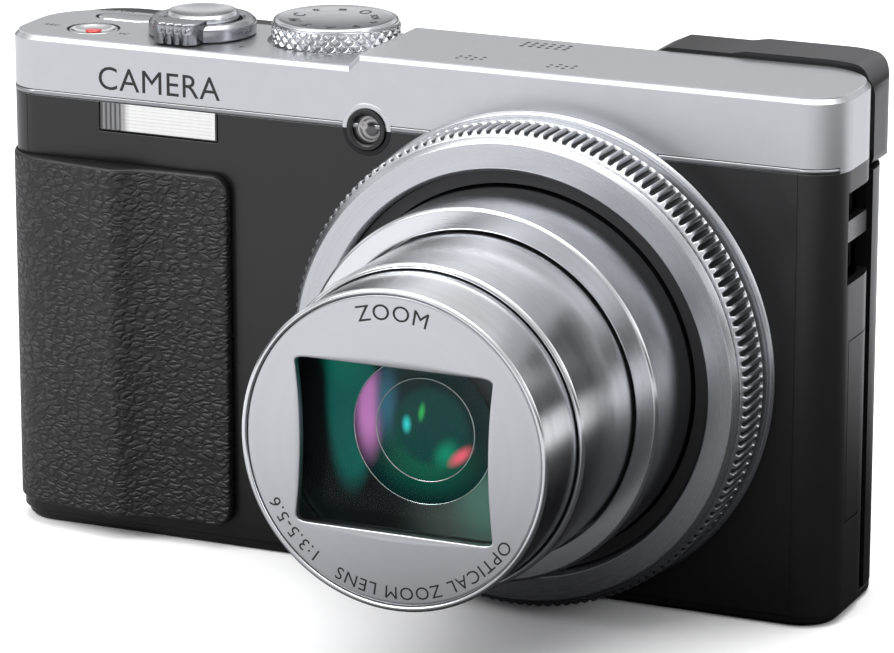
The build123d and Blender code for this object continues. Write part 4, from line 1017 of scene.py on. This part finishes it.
trim_silver = grained("trim_silver", (0.36, 0.37, 0.385), 0.34, metal=1.0, specks=9000, depth=0.000001)
settle(trim_line("trim_strip", SEAM + 0.14, SEAM + 0.62, 0.06), trim_silver, "case", "bright_metal")
settle(trim_line("trim_gap_upper", SEAM + 0.62, SEAM + 0.74, 0.015), black_ink, "case", "gloss_black")
settle(trim_line("trim_gap_lower", SEAM + 0.02, SEAM + 0.14, 0.015), black_ink, "case", "gloss_black")

# ================= shutter button and zoom lever =================
# The lever is a turned ring with a ribbed finger tab, sprung to its middle.  The shutter button
# stands inside it, its top turned to a shallow dish, so that it shows rings of light.

lever_low, lever_high = extent("zoom_lever")
LEVER_R = (lever_high[0] - lever_low[0]) / 2
LEVER_CENTRE = np.array([(lever_low[0] + lever_high[0]) / 2, lever_high[1] - LEVER_R, 0.0])
button_low, button_high = extent("shutter_button")
BUTTON_R = (button_high[0] - button_low[0]) / 2
button_top = button_high[2]
lever_top = lever_high[2] - 0.7
lever_bottom = lever_top - 1.9
STEM_R = 2.0

lever_metal = spun("lever_metal", (0.36, 0.37, 0.39), 0.24, LEVER_CENTRE, upright=True, marks=7000)
ring_outline = eased(
    [(LEVER_R, lever_bottom), (LEVER_R, lever_top - 0.45), (LEVER_R - 0.5, lever_top), (
        BUTTON_R + 0.75, lever_top
    ),
     (BUTTON_R + 0.4, lever_top - 0.3), (BUTTON_R + 0.4, lever_bottom + 0.3), (
         STEM_R + 0.3, lever_bottom + 0.3
     ),
     (STEM_R + 0.3, lever_low[2]), (LEVER_R - 1.2, lever_low[2]), (LEVER_R - 1.2, lever_bottom)],
    0.1,
)
lever_ring = lathe("lever_ring", ring_outline, LEVER_CENTRE, upright=True, columns=160)
settle(lever_ring, lever_metal, "zoom_lever", "spun_metal", "zoom_lever")


def prism(name, outline, bottom, top, bevel, steps=4):
    """An upright bar: the plan outline is carried from bottom to top, and near the top it draws in by a
    quarter round, inset = bevel (1 - cos a) at height bevel (1 - sin a) below the top."""
    plan = np.array(outline, float)
    along = np.roll(plan, -1, 0) - np.roll(plan, 1, 0)
    outward = np.stack([along[:, 1], -along[:, 0]], -1)
    outward /= np.maximum(np.linalg.norm(outward, axis=1, keepdims=True), 1e-9)
    turn = np.sum(plan[:, 0] * np.roll(plan[:, 1], -1) - np.roll(plan[:, 0], -1) * plan[:, 1])
    outward *= np.sign(turn)
    a = np.linspace(0, np.pi / 2, steps)
    levels = [(0.0, bottom)] + [(bevel * (1 - math.cos(t)), top - bevel * (1 - math.sin(t))) for t in a]
    rows = [np.column_stack([plan - outward * inset, np.full(len(plan), z)]) for inset, z in levels]
    count = len(plan)
    ends = [list(range(count)), list(range((len(rows) - 1) * count, len(rows) * count))]
    return skin(name, np.array(rows), columns_close=True, faces=ends)


TAB_HALF = 2.15
tab_front = lever_low[1]
RIBS = 4
rib_x = np.linspace(-TAB_HALF, TAB_HALF, RIBS * 8 + 1)
rib_y = tab_front + 0.34 * (1 - np.abs(np.sin(np.linspace(0, RIBS * np.pi, RIBS * 8 + 1))) ** 0.5)
tab_plan = np.vstack([
    np.stack([rib_x, rib_y], -1), [(TAB_HALF + 0.75, tab_front + 0.9), (TAB_HALF + 0.95, tab_front + 3.3)],
    [(-TAB_HALF - 0.95, tab_front + 3.3), (-TAB_HALF - 0.75, tab_front + 0.9)],
])
tab_plan[:, 0] += LEVER_CENTRE[0]
tab = prism("lever_tab", tab_plan, lever_bottom + 0.02, lever_high[2], 0.22)
settle(tab, lever_metal, "zoom_lever", "spun_metal")

shutter_metal = spun(
    "shutter_metal", (0.6, 0.61, 0.63), 0.2, LEVER_CENTRE, upright=True, marks=9000, depth=0.000012
)
dish = np.linspace(0, BUTTON_R - 0.55, 10)
shutter_outline = np.vstack([
    [(0, button_low[2]), (STEM_R, button_low[2]), (STEM_R, button_top - 1.2)],
    eased([(STEM_R, button_top - 1.2), (BUTTON_R, button_top - 1.2), (BUTTON_R, button_top - 0.35),
           (BUTTON_R - 0.35, button_top), (BUTTON_R - 0.55, button_top)], 0.12, closed=False)[1:],
    np.stack([dish, button_top - 0.42 * (1 - (dish / dish[-1]) ** 2)], -1)[::-1],
])
settle(
    lathe("shutter_cap", shutter_outline, LEVER_CENTRE, upright=True, columns=160, closed=False),
    shutter_metal, "shutter_button", "spun_metal", "shutter_button",
)

# ================= mode dial =================
# A turned aluminium dial in a round well, knurled in three rows of diamonds, with a dished top
# that carries the exposure letters, filled with black.

dial_low, dial_high = extent("mode_dial")
DIAL_R = (dial_high[0] - dial_low[0]) / 2
DIAL_CENTRE = axis_of(dial_low, dial_high, 2)
dial_top = dial_high[2]
dial_bottom = dial_top - 3.2
KNURLS = 60
KNURL_ROWS = 3
KNURL_DEPTH = 0.34
DIAL_DISH = 0.3
LETTER_R = 4.35


def make_dial():
    """The side is R - depth (1 - m), where m is the lower of two ridge waves that climb the side both ways,
    so that their crossings stand as diamonds.  The top falls to its middle by
    DIAL_DISH (1 - (r / rim)^2)."""
    columns = KNURLS * 10
    angle = np.linspace(0, 2 * np.pi, columns, endpoint=False)
    knurl = np.linspace(dial_bottom + 0.45, dial_top - 0.72, KNURL_ROWS * 8 + 1)
    climb = (knurl - knurl[0]) / (knurl[-1] - knurl[0]) * KNURL_ROWS / 2
    around = angle * KNURLS / (2 * np.pi) / 2
    def ridge(phase):
        return 1 - np.abs(2 * (phase % 1.0) - 1)
    first = ridge(climb[:, None] + around[None, :])
    second = ridge(climb[:, None] - around[None, :])
    side = DIAL_R - 0.03 - KNURL_DEPTH * (1 - 2 * np.minimum(np.minimum(first, second), 0.5))
    flat = np.ones(columns)
    below = [(0, dial_low[2]), (2.0, dial_low[2]), (2.0, dial_bottom), (DIAL_R - 0.6, dial_bottom),
             (DIAL_R - 0.4, dial_bottom + 0.15)]
    above = [(DIAL_R - 0.34, dial_top - 0.6), (DIAL_R - 0.26, dial_top - 0.5), (
        DIAL_R - 0.26, dial_top - 0.3
    ),
             (DIAL_R - 0.32, dial_top - 0.16), (DIAL_R - 0.6, dial_top - 0.02), (DIAL_R - 0.72, dial_top),
             (DIAL_R - 0.9, dial_top)]
    dish = np.linspace(DIAL_R - 1.05, 0, 12)
    top = [(r, dial_top - 0.05 - DIAL_DISH * (1 - (r / (DIAL_R - 1.05)) ** 2)) for r in dish]
    radius = np.vstack(
        [np.outer([r for r, _ in below], flat), side, np.outer([r for r, _ in above + top], flat)]
    )
    height = np.concatenate([[z for _, z in below], knurl, [z for _, z in above + top]])
    points = np.stack([radius * np.cos(angle), radius * np.sin(angle), np.outer(height, flat)], -1)
    return skin("knurled_dial", points + DIAL_CENTRE, columns_close=True)


dial_metal = spun("dial_metal", (0.6, 0.61, 0.63), 0.22, DIAL_CENTRE, upright=True, marks=8000, depth=0.00001)
settle(make_dial(), dial_metal, "mode_dial", "spun_metal", "mode_dial")

DIAL_WORDS = ("P", "A", "S", "M", "C", "*", "=", "O", "SCN", "+")
for number, word in enumerate(DIAL_WORDS):
    middle = math.radians(-38 - number * 360 / len(DIAL_WORDS))
    out = np.array([math.cos(middle), math.sin(middle), 0.0])
    side = np.array([-math.sin(middle), math.cos(middle), 0.0])

    def on_the_dial(u, v, w, out=out, side=side):
        """Lays a letter on the dish, its top outwards: along the side way by u and outwards by v."""
        flat = np.outer(LETTER_R + v, out) - np.outer(u, side)
        reach = np.linalg.norm(flat, axis=1)
        flat[:, 2] = dial_top - 0.05 - DIAL_DISH * (1 - (reach / (DIAL_R - 1.05)) ** 2) + w
        return flat + DIAL_CENTRE

    letter = letters(f"dial_mark_{number}", word, 2.1 if len(word) == 1 else 1.25, on_the_dial, thick=0.03)
    settle(letter, black_ink, "mode_dial", "gloss_black")

# ================= record and power buttons =================
# The record button is a polished dish with a red dot, and the power button a polished bar.  Both
# are let into the top plate with a dark gap round them.

record_low, record_high = extent("record_button")
RECORD_R = (record_high[0] - record_low[0]) / 2
RECORD_CENTRE = axis_of(record_low, record_high, 2)
record_top = record_high[2] - 0.02
record_metal = spun("record_metal", (0.72, 0.73, 0.74), 0.14, RECORD_CENTRE, upright=True)
hollow = np.linspace(RECORD_R - 0.3, 1.0, 9)
record_outline = np.vstack([
    [(0, record_low[2]), (RECORD_R, record_low[2])],
    eased(
        [(RECORD_R, record_low[2]), (RECORD_R, record_top), (RECORD_R - 0.3, record_top)], 0.1, closed=False
    )[1:],
    np.stack([hollow, record_top - 0.45 * (1 - ((hollow - 1.0) / (RECORD_R - 1.3)) ** 2)], -1)[1:],
    [(0, record_top - 0.45)],
])
settle(
    lathe("record_dish", record_outline, RECORD_CENTRE, upright=True, columns=96, closed=False),
    record_metal, "record_button", "bright_metal", "record_button",
)
red_enamel = grained("red_enamel", (0.62, 0.008, 0.006), 0.22, specks=5000, depth=0.000002, coat=0.7)
dot = dome(1.0, record_top - 0.18, record_top - 0.34, 0.2, rows=8)
settle(
    lathe("record_dot", dot, RECORD_CENTRE, upright=True, columns=48, closed=False),
    red_enamel, "record_button", "gloss_black",
)

power_low, power_high = extent("power_button")
power_metal = grained("power_metal", (0.68, 0.69, 0.7), 0.16, metal=1.0, specks=5000, depth=0.000003)


def pill_plan(low, high, count=16):
    """A bar with half-round ends: two half circles of half the width, joined by straight sides."""
    radius = (high[1] - low[1]) / 2
    a = np.linspace(-np.pi / 2, np.pi / 2, count)
    right = np.stack([high[0] - radius + radius * np.cos(a), (low[1] + high[1]) / 2 + radius * np.sin(a)], -1)
    left = np.stack([low[0] + radius - radius * np.cos(a), (low[1] + high[1]) / 2 - radius * np.sin(a)], -1)
    return np.vstack([right, left])


power_bar = prism("power_bar", pill_plan(power_low, power_high), power_low[2], power_high[2], 0.3)
settle(power_bar, power_metal, "power_button", "spun_metal", "power_button")

# ================= display, finder and rear controls =================
# The display is a black-bordered glass let into the rear cover.  The finder has a moulded black
# housing with a rubber eyecup, and the controls are black mouldings with small white signs.

screen_low, screen_high = extent("display_glass")
SIDE_BORDER = 2.6
END_BORDER = 2.2


def make_screen_material():
    """Black glass with a dark grey picture area, whose border is a rounded box in X and Z."""
    made, tree, shader = plain_shader("screen_glass", 0.0, coat=1.0)
    axes = add_node(tree, "SeparateXYZ", {0: own_place(tree)}).outputs
    middle, half = (screen_low + screen_high) / 2 * MM, (screen_high - screen_low) / 2 * MM
    over = []
    for k, border in ((0, SIDE_BORDER), (2, END_BORDER)):
        off = maths(tree, "ABSOLUTE", maths(tree, "SUBTRACT", axes[k], middle[k]))
        over.append(maths(tree, "SUBTRACT", off, half[k] - border * MM))
    inside = maths(tree, "LESS_THAN", maths(tree, "MAXIMUM", *over), 0.0)
    dots = add_node(tree, "TexNoise", {"Scale": 4000.0}).outputs[0]
    picture = blended(tree, maths(tree, "MULTIPLY", dots, 0.2), (0.022, 0.023, 0.027, 1), (0, 0, 0, 1))
    tree.links.new(blended(tree, inside, (0.004, 0.004, 0.005, 1), picture), shader.inputs["Base Color"])
    tree.links.new(maths(tree, "MULTIPLY_ADD", inside, 0.06, 0.06), shader.inputs["Roughness"])
    return made


screen_cover = eased_copy("screen_cover", "display_glass", 0.1)
settle(screen_cover, make_screen_material(), "case", "screen_glass", "display_glass")
finder_housing = eased_copy("finder_housing", "viewfinder_cover", 0.35, 4)
settle(finder_housing, black_shell, "case", "black_paint", "viewfinder_cover")
soft_black = grained("soft_black", (0.014, 0.014, 0.014), 0.72, specks=7000, depth=0.00002)
settle(eased_copy("finder_eyecup", "eyecup", 0.25), soft_black, "case", "soft_rubber", "eyecup")

rest_low, rest_high = extent("thumb_rest")
STUD_PITCH = 1.6


def make_thumb_pad():
    """A cushion of rubber: a rounded square whose face is a height field, with round studs in rows, each
    h = H sqrt(1 - (d / r)^2), over a field that falls to the border by a quarter round."""
    x = np.linspace(rest_low[0], rest_high[0], 145)
    z = np.linspace(rest_low[2], rest_high[2], 145)
    half = (rest_high[0] - rest_low[0]) / 2
    corner = 4.0
    inset = np.clip(corner - np.minimum(z - z[0], z[-1] - z), 0, None)
    reach = half - corner + np.sqrt(np.clip(corner**2 - inset**2, 0, None))
    across = (x[:, None] - x.mean()) / half * reach[None, :]
    up = np.broadcast_to((z - z.mean())[None, :], across.shape)
    from_end = np.minimum(half - np.abs(up), reach[None, :] - np.abs(across))
    edge = np.sqrt(np.clip(1 - (1 - np.clip(from_end / 0.8, 0, 1)) ** 2, 0, 1))
    near = np.hypot((across / STUD_PITCH + 0.5) % 1 - 0.5, (up / STUD_PITCH + 0.5) % 1 - 0.5) * STUD_PITCH
    studs = 0.25 * np.sqrt(np.clip(1 - (near / 0.5) ** 2, 0, 1)) * (from_end > 1.6)
    thick = rest_high[1] - rest_low[1]
    y = rest_low[1] + edge * (thick - 0.25) + studs
    points = np.stack([across + x.mean(), y, up + z.mean()], -1)
    rows, columns = points.shape[:2]
    rim = list(range(columns)) + [k * columns + columns - 1 for k in range(1, rows)]
    rim += [(rows - 1) * columns + k for k in range(columns - 2, -1, -1)]
    rim += [k * columns for k in range(rows - 2, 0, -1)]
    return skin("thumb_pad", points, faces=[rim])


settle(make_thumb_pad(), soft_black, "case", "soft_rubber", "thumb_rest")

pad_low, pad_high = extent("cursor_pad")
PAD_R = (pad_high[0] - pad_low[0]) / 2
PAD_CENTRE = axis_of(pad_low, pad_high, 1)
pad_back = pad_high[1]
pad_outline = np.vstack([
    [(0, pad_low[1]), (1.5, pad_low[1]), (1.5, pad_low[1] + 0.9)],
    eased([(1.5, pad_low[1] + 0.9), (PAD_R, pad_low[1] + 0.9), (PAD_R, pad_back - 0.1), (
        PAD_R - 0.9, pad_back
    ),
           (4.3, pad_back - 0.35), (3.75, pad_back - 0.4), (3.7, pad_back - 0.75), (3.3, pad_back - 0.75),
           (3.25, pad_back - 0.15), (2.6, pad_back - 0.1)], 0.14, closed=False)[1:],
    [(0, pad_back - 0.22)],
])
button_black = grained("button_black", (0.018, 0.018, 0.019), 0.36, specks=6000, depth=0.000006, coat=0.2)
pad = lathe("four_way_pad", pad_outline, PAD_CENTRE, columns=160, closed=False)
settle(pad, button_black, "cursor_pad", "button_plastic", "cursor_pad")
for name in ("menu_button", "play_button", "info_button", "quick_button", "viewfinder_button"):
    node_low, node_high = extent(name)
    centre = axis_of(node_low, node_high, 1)
    radius = (node_high[0] - node_low[0]) / 2
    crown = dome(radius - 0.2, node_high[1], node_high[1] - 0.12, 0.0, rows=10)[:-2]
    outline = np.vstack([crown, eased([crown[-1], (radius, node_high[1] - 0.3), (radius, node_low[1])], 0.12,
                                      closed=False)[1:], [(0, node_low[1])]])
    cap = lathe(name + "_cap", outline, centre, columns=64, closed=False)
    settle(cap, button_black, name, "button_plastic", name)

wheel_low, wheel_high = extent("diopter_dial")
WHEEL_CENTRE = axis_of(wheel_low, wheel_high, 1)
WHEEL_R = (wheel_high[0] - wheel_low[0]) / 2


def make_wheel():
    """A small wheel on a spindle.  Its radius over the rim is R - 0.18 (1 - |sin 14 a|), a row of teeth."""
    angle = np.linspace(0, 2 * np.pi, 28 * 8, endpoint=False)
    y0, y1 = wheel_low[1], wheel_high[1]
    teeth = WHEEL_R - 0.18 * (1 - np.abs(np.sin(14 * angle)))
    flat = np.ones(len(angle))
    rows = [(0 * flat, y0), (1.0 * flat, y0), (1.0 * flat, y0 + 1.3), (teeth - 0.1, y0 + 1.3), (
        teeth, y0 + 1.4
    ),
            (teeth, y1 - 0.15), (teeth - 0.12, y1 - 0.03), (teeth - 0.3, y1), (1.0 * flat, y1), (
                0 * flat, y1
            )]
    points = [np.stack([r * np.cos(angle), y * flat, r * np.sin(angle)], -1) for r, y in rows]
    return skin("diopter_wheel", np.array(points) + WHEEL_CENTRE, columns_close=True)


settle(make_wheel(), button_black, "diopter_dial", "matte_black", "diopter_dial")

# ================= printed signs =================
# Small generic words and signs beside the controls, printed on the covers in black on the silver
# and in light grey on the black.

grey_ink = grained("grey_ink", (0.55, 0.55, 0.56), 0.5, specks=9000, depth=0.000002)
low_plate = extent("power_button")[1][2] - 0.1


def on_top(x, y, z, degrees=0):
    """Lays text flat on the top plate, turned about its middle."""
    turn = math.radians(degrees)
    def place(u, v, w):
        flat = [
            x + u * math.cos(turn) - v * math.sin(turn), y + u * math.sin(turn) + v * math.cos(turn), z + w
        ]
        return np.stack(flat, -1)
    return place


def on_front(x, z, y):
    """Stands text on a face that looks forwards."""
    return lambda u, v, w: np.stack([x + u, y - w, z + v], -1)


def on_back(x, z, y):
    """Stands text on a face that looks backwards."""
    return lambda u, v, w: np.stack([x - u, y + w, z + v], -1)


rear_face = extent("rear_cover")[1][1]
signs = [
    ("front_word", "CAMERA", 4.1, on_front(-32.7, 56.25, case_front), "case", black_ink),
    ("sign_power", "OFF ON", 1.2, on_top(-46.6, power_high[1] + 0.55, low_plate, 8), "case", black_ink),
    ("sign_record", "REC", 1.1, on_top(-50.4, -6.2, low_plate, 0), "case", black_ink),
    ("sign_wide", "W", 1.3, on_top(-40.0, -7.4, low_plate, 0), "case", black_ink),
    ("sign_tele", "T", 1.3, on_top(-23.6, -8.2, low_plate, 0), "case", black_ink),
    ("sign_menu", "MENU", 1.5, on_back(-30.0, 38.0, rear_face), "case", grey_ink),
    ("sign_play", ">", 1.9, on_back(-42.8, 38.0, rear_face), "case", grey_ink),
    ("sign_info", "INFO", 1.5, on_back(-42.8, 5.6, rear_face), "case", grey_ink),
    ("sign_quick", "Q", 1.7, on_back(-30.0, 5.6, rear_face), "case", grey_ink),
    ("sign_view", "VIEW", 1.4, on_back(19.1, 53.6, rear_face), "case", grey_ink),
    ("sign_set", "SET", 1.5, on_back(
        PAD_CENTRE[0], PAD_CENTRE[2] - 0.55, pad_back - 0.14
    ), "cursor_pad", grey_ink),
    ("sign_up", "+", 2.0, on_back(
        PAD_CENTRE[0], PAD_CENTRE[2] + 5.2, pad_back - 0.2
    ), "cursor_pad", grey_ink),
    ("sign_down", "-", 2.0, on_back(
        PAD_CENTRE[0], PAD_CENTRE[2] - 6.6, pad_back - 0.14
    ), "cursor_pad", grey_ink),
]
for name, words, size, place, body, ink in signs:
    slot = "gloss_black" if ink is black_ink else "label_grey"
    settle(letters(name, words, size, place, 1.05), ink, body, slot)

# ================= floor, light and camera =================
# The camera stands on a wide sheet of pale paper under three soft boxes: a key at the front left, one
# overhead and a weak one at the right.  The metal throws back a grey room with a bright band round it.

floor_mesh = bpy.data.meshes.new("floor")
FLOOR = -0.0001
floor_mesh.from_pydata([(-6, -6, FLOOR), (6, -6, FLOOR), (6, 6, FLOOR), (-6, 6, FLOOR)], [], [(0, 1, 2, 3)])
floor = bpy.data.objects.new("floor", floor_mesh)
bpy.context.scene.collection.objects.link(floor)


def make_floor_paper():
    """Pale paper, near white as it is seen.  What it throws on to the object is painted shade that darkens
    towards the object and to its right: level = smoothstep of the distance in an ellipse about the
    shade's middle.  From below it is clear."""
    made, tree, shader = plain_shader("floor_paper", 0.0)
    seen = add_node(tree, "LightPath").outputs["Is Camera Ray"]
    place = own_place(tree)
    # Painted shade on what the floor throws: dark round a point beside the object, pale further out.
    from_shade_middle = add_node(tree, "VectorMath", {0: place, 1: (0.16, -0.03, 0)}, operation="SUBTRACT").outputs[0]
    stretched = add_node(
        tree, "VectorMath", {0: from_shade_middle, 1: (5.0, 7.7, 0)}, operation="MULTIPLY"
    ).outputs[0]
    reach = add_node(tree, "VectorMath", {0: stretched}, operation="LENGTH").outputs["Value"]
    level = smooth_step(tree, reach, 0.7, 1.4)
    painted_shade_thrown = blended(tree, level, (0.04, 0.04, 0.042, 1), (0.62, 0.62, 0.635, 1))
    colour = blended(tree, seen, painted_shade_thrown, (0.98, 0.98, 0.98, 1))
    tree.links.new(colour, shader.inputs["Base Color"])
    shader.inputs["Roughness"].default_value = 0.9
    shader.inputs["Specular IOR Level"].default_value = 0.0
    from_below = add_node(tree, "NewGeometry").outputs["Backfacing"]
    tree.links.new(maths(tree, "SUBTRACT", 1.0, from_below), shader.inputs["Alpha"])
    return made


floor_mesh.materials.append(make_floor_paper())


def soft_box(name, place, target, size, power):
    """An area light of this size in metres, at a place, turned to the target."""
    data = bpy.data.lights.new(name, "AREA")
    data.shape = "RECTANGLE"
    data.size, data.size_y = size
    data.energy = power
    lamp = bpy.data.objects.new(name, data)
    bpy.context.scene.collection.objects.link(lamp)
    lamp.location = place
    lamp.rotation_euler = (Vector(target) - Vector(place)).to_track_quat("-Z", "Y").to_euler()


MIDDLE = (0.0, -0.01, 0.03)
soft_box("key", (-0.7, -0.9, 1.1), MIDDLE, (1.0, 0.8), 15)
soft_box("overhead", (0.1, 0.1, 1.3), MIDDLE, (1.4, 1.0), 13)
soft_box("side", (1.2, -0.2, 0.5), MIDDLE, (0.3, 0.9), 2)

world = bpy.data.worlds.new("studio")
bpy.context.scene.world = world
world.use_nodes = True
way = add_node(
    world.node_tree, "SeparateXYZ", {0: add_node(world.node_tree, "TexCoord").outputs["Generated"]}
)
rise = add_node(world.node_tree, "MapRange", {"Value": way.outputs[2], "From Min": -0.1, "From Max": 0.9})
ramp = add_node(world.node_tree, "ValToRGB", {0: rise.outputs[0]})
ramp.color_ramp.elements[0].color = (0.14, 0.143, 0.15, 1)
ramp.color_ramp.elements[1].color = (0.9, 0.9, 0.9, 1)
for height, level in ((0.13, 0.05), (0.24, 0.12), (0.36, 0.55), (0.48, 0.95), (0.62, 0.4)):
    ramp.color_ramp.elements.new(height).color = (level, level, level * 1.03, 1)
backdrop = world.node_tree.nodes["Background"]
world.node_tree.links.new(ramp.outputs[0], backdrop.inputs[0])
backdrop.inputs[1].default_value = 1.3

AZIMUTH, ELEVATION = math.radians(24.0), math.radians(15.638)
AIM = Vector((0.004575, -0.012, 0.033742))
DISTANCE = 0.57733
back = Vector(
    (math.sin(AZIMUTH) * math.cos(ELEVATION), -math.cos(AZIMUTH) * math.cos(ELEVATION), math.sin(ELEVATION))
)
lens = bpy.data.cameras.new("camera")
lens.lens, lens.sensor_width = 195.35, 36
lens.shift_x, lens.shift_y = 0.0075, -0.0206
lens.clip_start, lens.clip_end = 0.05, 20
camera = bpy.data.objects.new("camera", lens)
bpy.context.scene.collection.objects.link(camera)
camera.location = AIM + back * DISTANCE
camera.rotation_euler = (-back).to_track_quat("-Z", "Y").to_euler()
bpy.context.scene.camera = camera
bpy.context.scene.view_settings.view_transform = "Standard"
